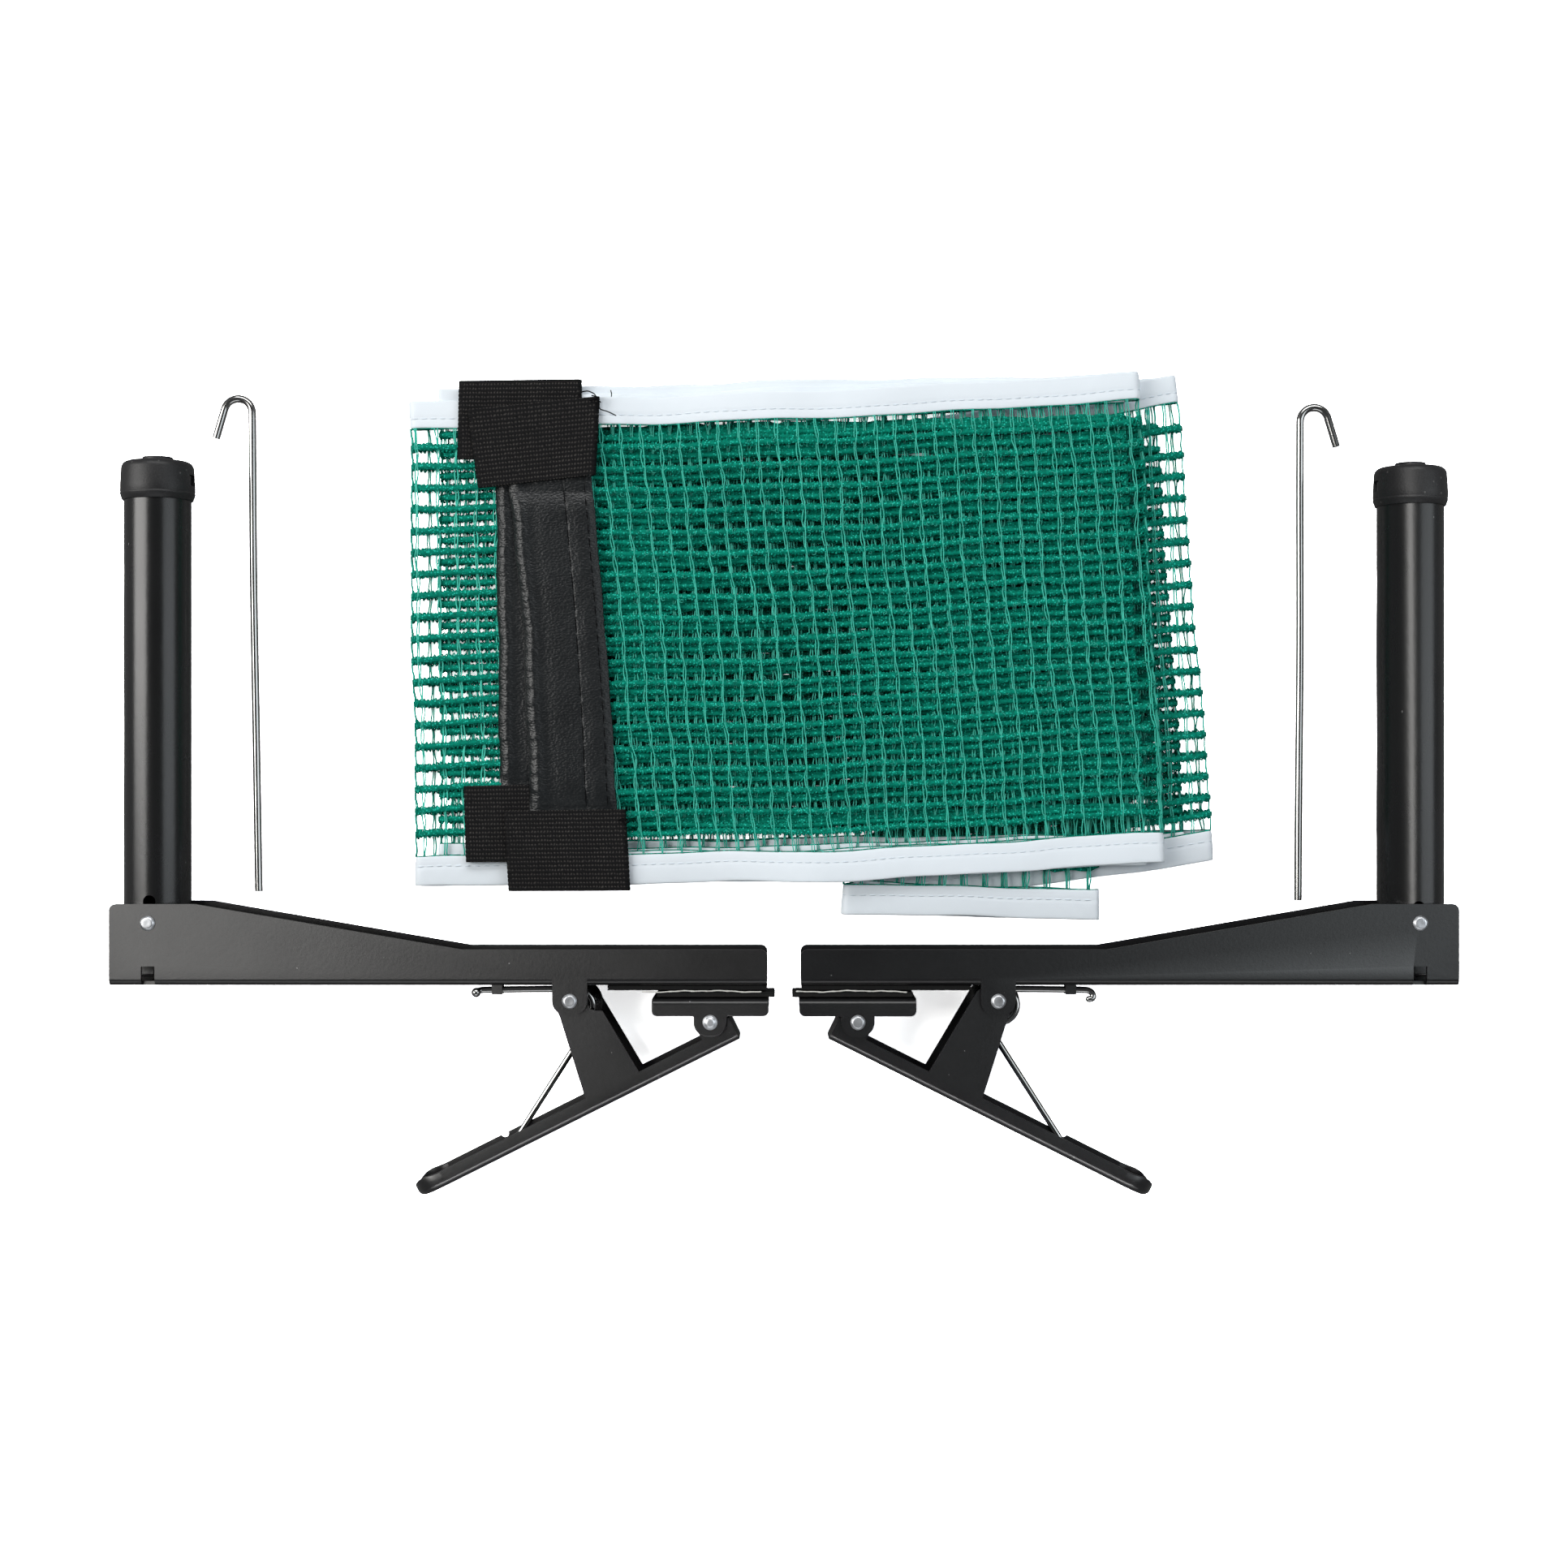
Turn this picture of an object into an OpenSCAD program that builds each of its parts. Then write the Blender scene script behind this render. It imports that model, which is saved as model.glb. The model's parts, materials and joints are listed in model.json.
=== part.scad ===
// Clip-on table tennis net set, laid flat on a surface: two sprung table clamps with their
// posts, two hooked stretcher rods, and the folded net with its end sleeves and elastic loops.
// Millimetres. +X runs along the set, +Y towards the tops of the posts, +Z up from the surface.
// The left clamp is drawn and the right one is its mirror image in the plane x = 0. Inside the
// modules y = 0 is the underside of the brackets, the plane that lies on the table when clamped.

/* [Layout] */
// Distance from the middle line of the set to the inner end of each bracket
clamp_inset = 5.2; // [4:0.1:20]
// Height of the net's lowest left corner above the bracket underside
net_rise = 28.9; // [27:0.1:40]

/* [Bracket] */
// Thickness of the bracket, lever and jaw sheet steel
sheet_t = 1.2; // [0.8:0.1:1.5]
// Outside radius of the folds in the sheet steel
bend_r = 2.0; // [1.8:0.1:3]
// Length of the bracket
bracket_l = 199.5; // [190:0.5:230]
// Height of the bracket walls beside the post
bracket_h = 24.7; // [24:0.1:32]
// Height of the low part of the bracket walls
rail_h = 10.9; // [8:0.1:16]
// Length of the full-height part beside the post
head_l = 26.1; // [24:0.1:34]
// Length of the sloping part of the walls
slope_l = 80.7; // [60:0.1:90]
// Radius of the rounded upper corners of the walls
wall_corner_r = 2.0; // [1:0.1:4]
// Width of the pivot ears under the bracket
ear_w = 10.6; // [9.6:0.1:14]
// Width of the window cut through each wall under the post rivet
window_w = 4.1; // [2:0.1:6]
// Height of that window
window_h = 5.8; // [4:0.1:8]

/* [Post] */
// Outside diameter of the post tube
post_d = 20.2; // [18:0.1:22]
// Wall of the post tube
post_wall = 1.2; // [0.8:0.1:2]
// Length of the post tube
post_l = 150.2; // [140:0.1:170]
// Gap between the post tube and each bracket wall
post_side_gap = 0.4; // [0.2:0.1:0.8]
// Distance from the bracket's outer end to the axis of the post
post_inset = 11.8; // [11.5:0.1:13]
// Height of the post rivet above the bracket underside
post_rivet_h = 18.9; // [18:0.1:21]
// Travel of the post on its rivet
post_travel = 8.0; // [7:0.5:10]
// How far the left post is drawn up from its lowest place
lift_left = 6.5; // [0:0.1:6.9]
// How far the right post is drawn up from its lowest place
lift_right = 4.7; // [0:0.1:6.9]

/* [Post cap] */
// Largest diameter of the post cap
cap_d = 22.6; // [22.4:0.1:24]
// Height of the post cap without its boss
cap_h = 12.0; // [11:0.1:16]
// Thickness of the cap over the end of the tube
cap_top_t = 2.3; // [2:0.1:3]
// Diameter of the boss on top of the cap
cap_boss_d = 9.2; // [6:0.1:14]
// Height of the boss on top of the cap
cap_boss_h = 0.95; // [0.5:0.05:2]
// Gap between the cap and the tube, on the radius
cap_gap = 0.1; // [0.05:0.05:0.3]
// Height of the hook slot in the side of the cap
cap_slot_h = 3.4; // [2.6:0.1:4]

/* [Lever] */
// Outside width of the lever channel
lever_w = 20.0; // [17:0.1:20.2]
// Distance from the bracket's inner end to the lever pivot
pivot_inset = 59.8; // [58:0.1:66]
// Depth of the lever pivot below the bracket underside
pivot_drop = 4.8; // [4.8:0.1:6]
// Angle of the closed lever from the bracket
lever_angle = 26.6; // [24:0.1:28]
// Distance from the lever pivot to the outer face of the arm
arm_drop = 33.5; // [32:0.1:38]
// Height of the arm walls
arm_h = 4.9; // [4.3:0.1:6]
// Length of the arm from the pivot towards the finger end
handle_l = 68.6; // [60:0.1:85]
// Distance along the arm from the lever pivot to the jaw pivot
jaw_reach = 35.2; // [33:0.1:38]
// Distance across the arm from the lever pivot to the jaw pivot
jaw_drop = 24.8; // [24:0.1:26]

/* [Jaw] */
// Length of the jaw
jaw_l = 35.5; // [30:0.1:38]
// Height of the jaw side walls
jaw_side_h = 5.3; // [4:0.1:6]
// Width of the jaw ears
jaw_ear_w = 10.1; // [9.4:0.1:12]
// Gap between the lever and each jaw wall
jaw_side_gap = 0.2; // [0.1:0.05:0.4]
// Thickness of each rubber pad
pad_t = 2.0; // [1.2:0.1:2.4]
// Width of the rubber pads
pad_w = 18.6; // [14:0.1:19]
// Length of the pad under the bracket
bracket_pad_l = 48.6; // [40:0.1:49]
// Length of the pad on the jaw
jaw_pad_l = 36.0; // [30:0.1:37]
// Gap left between the two pads of a closed clamp
pad_gap = 0.1; // [0.05:0.05:0.4]

/* [Rivets] */
// Diameter of the rivet shanks
rivet_d = 3.6; // [3:0.1:3.8]
// Diameter of the rivet heads
rivet_head_d = 4.6; // [4.4:0.1:6]
// Height of the rivet heads
rivet_head_h = 1.0; // [0.6:0.1:1.5]
// Clearance between a rivet shank and its holes, on the radius
rivet_fit = 0.06; // [0.03:0.01:0.1]

/* [Lever spring] */
// Diameter of the spring wire
spring_wire_d = 2.0; // [1.6:0.1:2.1]
// Radius of the coil at the middle of the wire
coil_r = 6.2; // [6:0.1:6.4]
// Whole turns of the coil
coil_turns = 5; // [3:1:5]
// Distance between neighbouring turns
coil_pitch = 2.58; // [2.55:0.01:2.7]
// Length of the leg that lies under the bracket
upper_leg_l = 30.0; // [26:0.5:40]
// Angle of the leg that presses on the lever, from the bracket
lower_leg_angle = 57.5; // [54:0.5:62]

/* [Hook rods] */
// Diameter of the rod wire
rod_d = 2.4; // [2:0.1:3]
// Length of the straight part of each rod
rod_l = 149.7; // [130:0.1:170]
// Radius of the hook at the middle of the wire
hook_r = 4.4; // [3.8:0.1:6]
// Length of the hook's straight end
hook_leg_l = 9.5; // [6:0.1:12]
// Angle by which the hook's end stands away from the rod
hook_flare = 17; // [0:1:30]

/* [Net] */
// Height of the net from edge to edge of its tapes
net_h = 151.5; // [145:0.1:160]
// Width of the tapes along the edges of the net
tape_w = 7.8; // [5:0.1:12]
// Length of the folded net along the set
fold_l = 247.9; // [220:0.1:260]
// Thickness of one run of the folded net, two layers deep
run_t = 2.4; // [2:0.1:3]
// Rows of gaps shown in the top run
gap_rows = 11; // [6:1:12]
// Columns of gaps shown in the top run
gap_columns = 22; // [10:1:24]
// Width of the cords between the gaps
cord_w = 2.4; // [1.5:0.1:4]
// Width of the end sleeves
sleeve_w = 25.0; // [20:0.1:27]
// Width of the elastic loops
loop_w = 36.0; // [30:0.1:36.5]
// Length of the upper loop on the front sleeve
loop_front_top_l = 27.5; // [20:0.1:32]
// Length of the lower loop on the front sleeve
loop_front_bottom_l = 24.8; // [20:0.1:32]
// Length of the upper loop on the back sleeve
loop_back_top_l = 25.2; // [20:0.1:28]
// Length of the lower loop on the back sleeve
loop_back_bottom_l = 24.2; // [20:0.1:28]

/* [Hidden] */
$fn = 48;

black_steel = [0.13, 0.13, 0.13];
zinc = [0.78, 0.79, 0.80];
black_rubber = [0.08, 0.08, 0.08];
net_green = [0.08, 0.50, 0.40];
tape_white = [0.90, 0.94, 0.97];
leatherette = [0.16, 0.16, 0.17];
elastic_black = [0.07, 0.07, 0.07];

cut = 1;    // how far a cutting tool runs past what it cuts
bury = 0.4; // how deep a formed tab starts inside its sheet

// Bracket
channel_w = post_d + 2 * post_side_gap + 2 * sheet_t;
wall_z = rivet_head_h;
mid_z = wall_z + channel_w / 2;
bracket_end = -clamp_inset - bracket_l;
post_x = bracket_end + post_inset;
pivot_x = -clamp_inset - pivot_inset;
ear_round_r = 4.1;
tab_w = 3.2;
tab_t = 1.2;
tongue_w = 6;
tongue_h = 5;

// Lever and jaw, from the pivots
lever_z = mid_z - lever_w / 2;
arm_top = arm_h - arm_drop;
neck_r = 4.5;
lever_ear_r = 4.7;
jaw_end_u = jaw_reach + lever_ear_r + 0.9;
jaw_end_h = 7.2;
tip_r = 2.4;
tip_corner_r = 8;
notch_r = 1.25;
jaw_x = pivot_x + jaw_reach * cos(lever_angle) + jaw_drop * sin(lever_angle);
jaw_y = -pivot_drop + jaw_reach * sin(lever_angle) - jaw_drop * cos(lever_angle);
jaw_top_y = -2 * pad_t - pad_gap;
jaw_w = lever_w + 2 * jaw_side_gap + 2 * sheet_t;
jaw_z = mid_z - jaw_w / 2;
jaw_corner_r = 1.7;
jaw_ear_round_r = 4.4;
jaw_pad_out = 1.9;

// Spring: the coil hangs on the lever rivet and runs clockwise from its upper leg
wire_gap = 0.6;
coil_y = -wire_gap - spring_wire_d / 2 - coil_r;
coil_sweep = 90 + (90 - lower_leg_angle) + 360 * coil_turns;
coil_rise = coil_pitch * coil_sweep / 360;
coil_step = 45;
coil_rings = ceil(coil_sweep / coil_step);
spring_sides = 6;
web_clear = 0.3;

// Hook rods lie on the surface: foot of each rod and how far it leans outwards
rod_foot_left = [post_x + 28.6, 27.6];
rod_lean_left = 0.8;
rod_foot_right = [-post_x - 32.1, 24.8];
rod_lean_right = 0.25;

// Fold lines of the net: foot of each line and its lean from +Y
function fold_x(share) = fold_l * (share - 0.4595);
fold_sewn = [fold_x(0.2533), net_rise + 1.7, 3.9];
fold_top_right = [fold_x(0.9330), net_rise + 7.9, 3.0];
fold_left_inner = [fold_x(0.0379), net_rise + 3.9, 1.0];
fold_left = [fold_x(0), net_rise, 1.25];
fold_low_right = [fold_x(1), net_rise + 8.3, 4.6];
fold_tail_left = [fold_x(0.5309), net_rise - 7.9, -5.3];
fold_tail_end = [fold_x(0.8528), net_rise - 10.1, -2.1];
sag_high_x = fold_x(0.524);  // the upper runs lie on the tail as far as here
sag_low_x = fold_x(0.338);   // and come down on the lowest run here

// The whole set is centred on the origin
net_top = max([for (f = [fold_sewn, fold_top_right, fold_left, fold_low_right]) fold_point(f, net_h).y]);
tip_centre = [-handle_l + tip_r, -arm_drop + tip_r];
lever_bottom = -pivot_drop + tip_centre.x * sin(lever_angle) + tip_centre.y * cos(lever_angle) - tip_r;
set_shift = -(net_top + lever_bottom) / 2;

function unit(v) = v / norm(v);
function mix(a, b, t) = a + (b - a) * t;
function reversed(list) = [for (i = [len(list) - 1:-1:0]) list[i]];

// Point on a fold line at a height up the net
function fold_point(f, h) = [f.x - h * sin(f.z), f.y + h * cos(f.z)];
// Point on a run between two fold lines: u across it, h up it
function run_point(a, b, u, h) = mix(fold_point(a, h), fold_point(b, h), u);

// Rings of a round tube along a list of points, kept upright to +Z
function tube_ring(p, along, r, sides) =
    let (side = unit(cross(along, [0, 0, 1])), up = cross(side, along))
    [for (i = [0:sides - 1]) p + r * (side * cos(360 * i / sides) + up * sin(360 * i / sides))];
function tube_along(path, i) =
    unit(path[min(i + 1, len(path) - 1)] - path[max(i - 1, 0)]);

// Least gap between stretches of a tube that are more than half a turn apart
function self_gap(path, d, apart) =
    min([for (i = [0:len(path) - 1 - apart], j = [i + apart:len(path) - 1])
        norm(path[i] - path[j])]) - d;

module tube(path, r, sides) {
    last = len(path) - 1;
    points = [for (i = [0:last]) each tube_ring(path[i], tube_along(path, i), r, sides)];
    walls = [for (i = [0:last - 1], k = [0:sides - 1])
        let (n = (k + 1) % sides, a = i * sides, b = a + sides)
        each [[a + k, b + n, b + k], [a + k, a + n, b + n]]];
    caps = [for (k = [1:sides - 2])
        each [[0, k + 1, k], [last * sides, last * sides + k, last * sides + k + 1]]];
    polyhedron(points, concat(walls, caps));
}

// Puts a left-hand module on its own side
module on_left() {
    translate([0, set_shift, 0]) children();
}
module on_right() {
    translate([0, set_shift, 0]) mirror([1, 0, 0]) children();
}

// Strip h high and w wide with its corners at x = 0 rounded
module rounded_foot(h, w, r) {
    translate([r, 0]) square([h - r, w]);
    translate([0, r]) square([h, w - 2 * r]);
    translate([r, r]) circle(r);
    translate([r, w - r]) circle(r);
}
module channel_section(h, w) {
    difference() {
        rounded_foot(h, w, bend_r);
        translate([sheet_t, sheet_t]) rounded_foot(h, w - 2 * sheet_t, bend_r - sheet_t);
    }
}
// Channel of length l along +X, its web at y = 0 and its open side towards +Y
module channel(l, h, w) {
    rotate([90, 0, 90]) linear_extrude(l) channel_section(h, w);
}

module rivet(x, y, low_z, high_z, shank_d) {
    translate([x, y, low_z]) cylinder(d = shank_d, h = high_z - low_z);
    for (face = [[low_z, 180], [high_z, 0]])
        translate([x, y, face[0]]) rotate([face[1], 0, 0]) {
            cylinder(d = rivet_head_d, h = rivet_head_h * 0.45);
            translate([0, 0, rivet_head_h * 0.45])
                cylinder(d1 = rivet_head_d, d2 = rivet_head_d * 0.6, h = rivet_head_h * 0.55);
        }
}
module rivet_hole(x, y, shank_d) {
    translate([x, y, -cut]) cylinder(d = shank_d + 2 * rivet_fit, h = channel_w + 4 * rivet_head_h);
}

// Bracket --------------------------------------------------------------

module bracket_side() {
    r = wall_corner_r;
    right = bracket_end + bracket_l;
    slope_top = bracket_end + head_l;
    slope_foot = slope_top + slope_l;
    polygon([[bracket_end, 0], [right, 0], [right, rail_h - r], [right - r, rail_h],
        [slope_foot, rail_h], [slope_top, bracket_h], [bracket_end + r, bracket_h],
        [bracket_end, bracket_h - r]]);
    translate([right - r, rail_h - r]) circle(r);
    translate([bracket_end + r, bracket_h - r]) circle(r);
}
module bracket_ear() {
    shift = ear_w / 2 - ear_round_r;
    for (s = [-1, 1])
        translate([pivot_x + s * shift, -pivot_drop]) circle(ear_round_r);
    translate([pivot_x - shift, -pivot_drop - ear_round_r]) square([2 * shift, ear_round_r]);
    translate([pivot_x - ear_w / 2, -pivot_drop]) square([ear_w, pivot_drop + bend_r + 1]);
}
module spring_tabs() {
    wire_z = mid_z + coil_rise / 2;
    tab_gap = spring_wire_d + 0.4;
    for (s = [-1, 1])
        translate([pivot_x - 22.3 - tab_w / 2, -2.9, wire_z + s * (tab_gap + tab_t) / 2 - tab_t / 2])
            cube([tab_w, 2.9 + bury, tab_t]);
}
module bracket() {
    color(black_steel) difference() {
        union() {
            intersection() {
                translate([bracket_end, 0, wall_z]) channel(bracket_l, bracket_h, channel_w);
                translate([0, 0, wall_z]) linear_extrude(channel_w) bracket_side();
            }
            for (z = [wall_z, wall_z + channel_w - sheet_t])
                translate([0, 0, z]) linear_extrude(sheet_t) bracket_ear();
            spring_tabs();
            translate([post_x - sheet_t / 2, sheet_t - bury, mid_z - tongue_w / 2])
                cube([sheet_t, tongue_h + bury, tongue_w]);
        }
        rivet_hole(pivot_x, -pivot_drop, rivet_d);
        rivet_hole(post_x, post_rivet_h, rivet_d);
        for (z = [wall_z - cut, wall_z + channel_w - bend_r - 0.4])
            translate([post_x - window_w / 2, -cut, z])
                cube([window_w, window_h + cut, bend_r + 0.4 + cut]);
    }
}
module bracket_pad() {
    color(black_rubber)
        translate([-clamp_inset - bracket_pad_l, -pad_t, mid_z - pad_w / 2])
            cube([bracket_pad_l, pad_t, pad_w]);
}

// Post -----------------------------------------------------------------

function post_foot(lift) = sheet_t + pad_gap + lift;

module post_slot(lift) {
    slot_d = rivet_d + 0.2;
    low = post_rivet_h - (post_travel - lift);
    for (y = [low, post_rivet_h + lift])
        translate([post_x, y, 0]) cylinder(d = slot_d, h = 3 * channel_w);
    translate([post_x - slot_d / 2, low, 0]) cube([slot_d, post_travel, 3 * channel_w]);
}
module post_tube(lift) {
    color(black_steel) difference() {
        translate([post_x, post_foot(lift), mid_z]) rotate([-90, 0, 0]) difference() {
            cylinder(d = post_d, h = post_l);
            translate([0, 0, -cut]) cylinder(d = post_d - 2 * post_wall, h = post_l + 2 * cut);
        }
        post_slot(lift);
    }
}
module cap_profile() {
    shoulder_r = 1.8;
    top_r = cap_d / 2;
    difference() {
        union() {
            polygon([[0, 0], [top_r - 0.7, 0], [top_r, 1.9], [top_r, cap_h - shoulder_r],
                [top_r - shoulder_r, cap_h], [0, cap_h]]);
            translate([top_r - shoulder_r, cap_h - shoulder_r]) circle(shoulder_r);
        }
        translate([-cut, -cut]) square([post_d / 2 + cap_gap + cut, cap_h - cap_top_t + cut]);
    }
}
module post_cap(lift) {
    seat = cap_h - cap_top_t;
    spigot_l = 8;
    color(black_rubber)
        translate([post_x, post_foot(lift) + post_l - seat, mid_z]) difference() {
            rotate([-90, 0, 0]) {
                rotate_extrude() cap_profile();
                translate([0, 0, cap_h - cut]) cylinder(d = cap_boss_d, h = cap_boss_h + cut);
                translate([0, 0, seat - spigot_l])
                    cylinder(d = post_d - 2 * post_wall - 2 * cap_gap, h = spigot_l + cut);
            }
            translate([post_d / 2 - 0.5, cap_h - 4.2 - cap_slot_h, -3]) cube([cap_d, cap_slot_h, 6]);
        }
}
module post_rivet() {
    color(zinc) rivet(post_x, post_rivet_h, wall_z, wall_z + channel_w, rivet_d);
}

// Lever ----------------------------------------------------------------

// The lever's own frame: u along the arm towards the jaw, n towards the bracket
module lever_frame() {
    translate([pivot_x, -pivot_drop, 0]) rotate([0, 0, lever_angle]) children();
}
module lever_side() {
    // arm, tapering to the finger end
    polygon([[-handle_l + tip_r, -arm_drop], [jaw_end_u, -arm_drop],
        [jaw_end_u, -arm_drop + jaw_end_h], [jaw_reach + lever_ear_r, -jaw_drop],
        [jaw_reach - lever_ear_r, -jaw_drop], [jaw_reach - lever_ear_r, arm_top],
        [-handle_l + 10.2, arm_top], [-handle_l + 5, arm_top - 0.9], [-handle_l, -arm_drop + tip_r]]);
    translate(tip_centre) circle(tip_r);
    translate([jaw_reach, -jaw_drop]) circle(lever_ear_r);
    // neck up to the pivot
    polygon([[-9.3, arm_top - 1], [9.1, arm_top - 1], [7, -0.9], [4.5, 1.6], [0, neck_r],
        [-neck_r, 0]]);
    circle(neck_r);
    translate([4.5, -0.9]) circle(2.5);
}
module lever_plan() {
    r = tip_corner_r;
    translate([-handle_l + r, 0]) square([handle_l - r + jaw_end_u, lever_w]);
    translate([-handle_l, r]) square([r, lever_w - 2 * r]);
    for (z = [r, lever_w - r])
        translate([-handle_l + r, z]) circle(r);
}
module lever() {
    color(black_steel) lever_frame() difference() {
        union() {
            intersection() {
                translate([-handle_l, -arm_drop, lever_z])
                    channel(handle_l + jaw_end_u, arm_drop + 8, lever_w);
                translate([0, 0, lever_z]) linear_extrude(lever_w) lever_side();
                translate([0, 8, lever_z]) rotate([90, 0, 0]) linear_extrude(arm_drop + 10)
                    lever_plan();
            }
            // end flange that closes the channel under the jaw
            translate([jaw_end_u - sheet_t, -arm_drop + sheet_t - bury, lever_z + sheet_t - bury])
                cube([sheet_t, jaw_end_h - sheet_t + bury, lever_w - 2 * sheet_t + 2 * bury]);
        }
        rivet_hole(0, 0, rivet_d);
        rivet_hole(jaw_reach, -jaw_drop, rivet_d);
        // notch in the far wall for the end of the spring
        translate([notch_u, arm_top, lever_z - cut]) cylinder(r = notch_r, h = sheet_t + 2 * cut);
    }
}
module lever_rivet() {
    color(zinc) rivet(pivot_x, -pivot_drop, wall_z, wall_z + channel_w, rivet_d);
}

// Spring ---------------------------------------------------------------

// Middle of the wire, from the upper leg's end, round the coil and down the lower leg
spring_path =
    let (
        start_z = mid_z + coil_rise / 2,
        centre = [pivot_x, coil_y, 0],
        coil = [for (i = [0:coil_rings])
            let (turned = coil_sweep * i / coil_rings, a = 90 - turned)
            centre + [coil_r * cos(a), coil_r * sin(a), start_z - coil_rise * turned / coil_sweep]],
        down = [-cos(lower_leg_angle), -sin(lower_leg_angle), 0],
        across = [-sin(lever_angle), cos(lever_angle), 0],
        leave = coil[coil_rings],
        reach = (leave - [pivot_x, -pivot_drop, leave.z]) * across,
        seat = -arm_drop + sheet_t + spring_wire_d / 2 + web_clear,
        lower_leg_l = (reach - seat) / -(down * across)
    )
    concat([coil[0] - [upper_leg_l, 0, 0], coil[0] - [upper_leg_l / 2, 0, 0]], coil,
        [leave + down * 4, leave + down * lower_leg_l / 2, leave + down * lower_leg_l]);

// Notch in the lever's far wall, a little beyond the end of the lower leg
spring_end = spring_path[len(spring_path) - 1] - [pivot_x, -pivot_drop, 0];
notch_u = spring_end.x * cos(lever_angle) + spring_end.y * sin(lever_angle) - 1.2 * spring_wire_d;

module lever_spring() {
    color(zinc) tube(spring_path, spring_wire_d / 2, spring_sides);
}
echo(str("Least gap between the turns of the spring: ",
    self_gap(spring_path, spring_wire_d, 5), " mm"));

// Jaw ------------------------------------------------------------------

module jaw_side() {
    r = jaw_corner_r;
    low = jaw_top_y - jaw_side_h;
    left = jaw_x - jaw_l / 2;
    shift = jaw_ear_w / 2 - jaw_ear_round_r;
    polygon([[left, low + r], [left + r, low], [left + jaw_l - r, low], [left + jaw_l, low + r],
        [left + jaw_l, jaw_top_y], [left, jaw_top_y]]);
    for (x = [left + r, left + jaw_l - r])
        translate([x, low + r]) circle(r);
    translate([jaw_x - jaw_ear_w / 2, jaw_y]) square([jaw_ear_w, low - jaw_y + cut]);
    for (s = [-1, 1])
        translate([jaw_x + s * shift, jaw_y]) circle(jaw_ear_round_r);
    translate([jaw_x - shift, jaw_y - jaw_ear_round_r]) square([2 * shift, jaw_ear_round_r]);
}
module jaw() {
    color(black_steel) difference() {
        intersection() {
            translate([jaw_x - jaw_l / 2, jaw_top_y, jaw_z]) mirror([0, 1, 0])
                channel(jaw_l, jaw_top_y - jaw_y + jaw_ear_round_r + cut, jaw_w);
            translate([0, 0, jaw_z]) linear_extrude(jaw_w) jaw_side();
        }
        rivet_hole(jaw_x, jaw_y, rivet_d);
    }
}
module jaw_pad() {
    right = jaw_x + jaw_l / 2 + jaw_pad_out;
    color(black_rubber)
        translate([right - jaw_pad_l, jaw_top_y, mid_z - pad_w / 2]) cube([jaw_pad_l, pad_t, pad_w]);
}
module jaw_rivet() {
    head_gap = 0.05;
    color(zinc) rivet(jaw_x, jaw_y, jaw_z - head_gap, jaw_z + jaw_w + head_gap, rivet_d);
}

// Hook rods ------------------------------------------------------------

// Drawn for the left: foot at the origin, hook opening towards -X
module hook_rod_shape() {
    end_d = rod_d - 0.04;   // a hair thinner, so that the end meets the bend in a clean step
    rotate([-90, 0, 0]) cylinder(d = rod_d, h = rod_l);
    translate([-hook_r, rod_l, 0]) {
        rotate_extrude(angle = 180 - hook_flare) translate([hook_r, 0]) circle(d = rod_d);
        rotate([0, 0, 180 - hook_flare]) translate([hook_r, -0.2, 0]) rotate([-90, 0, 0])
            cylinder(d = end_d, h = hook_leg_l + 0.2);
    }
}
module hook_rod_left() {
    color(zinc) translate([rod_foot_left.x, rod_foot_left.y + set_shift, rod_d / 2])
        rotate([0, 0, rod_lean_left]) hook_rod_shape();
}
module hook_rod_right() {
    color(zinc) translate([rod_foot_right.x, rod_foot_right.y + set_shift, rod_d / 2])
        mirror([1, 0, 0]) rotate([0, 0, rod_lean_right]) hook_rod_shape();
}

// Net ------------------------------------------------------------------

// Height of the underside of each run of the folded net
low_run_z = 0;
return_run_z = run_t;
tail_run_z = 2 * run_t;
second_run_z = [3 * run_t, run_t];   // on the tail, and on the lowest run
top_run_z = [4 * run_t, 2 * run_t];

module run_plan(a, b, h0, h1) {
    polygon([run_point(a, b, 0, h0), run_point(a, b, 1, h0), run_point(a, b, 1, h1),
        run_point(a, b, 0, h1)]);
}
// Slab one run thick that steps down from z[0] on the right to z[1] on the left
module sagging_slab(z) {
    reach = 200;
    under = [[reach, z[0]], [sag_high_x, z[0]], [sag_low_x, z[1]], [-reach, z[1]]];
    over = [for (p = reversed(under)) [p.x, p.y + run_t]];
    translate([0, 2 * net_h, 0]) rotate([90, 0, 0]) linear_extrude(3 * net_h)
        polygon(concat(under, over));
}
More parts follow.
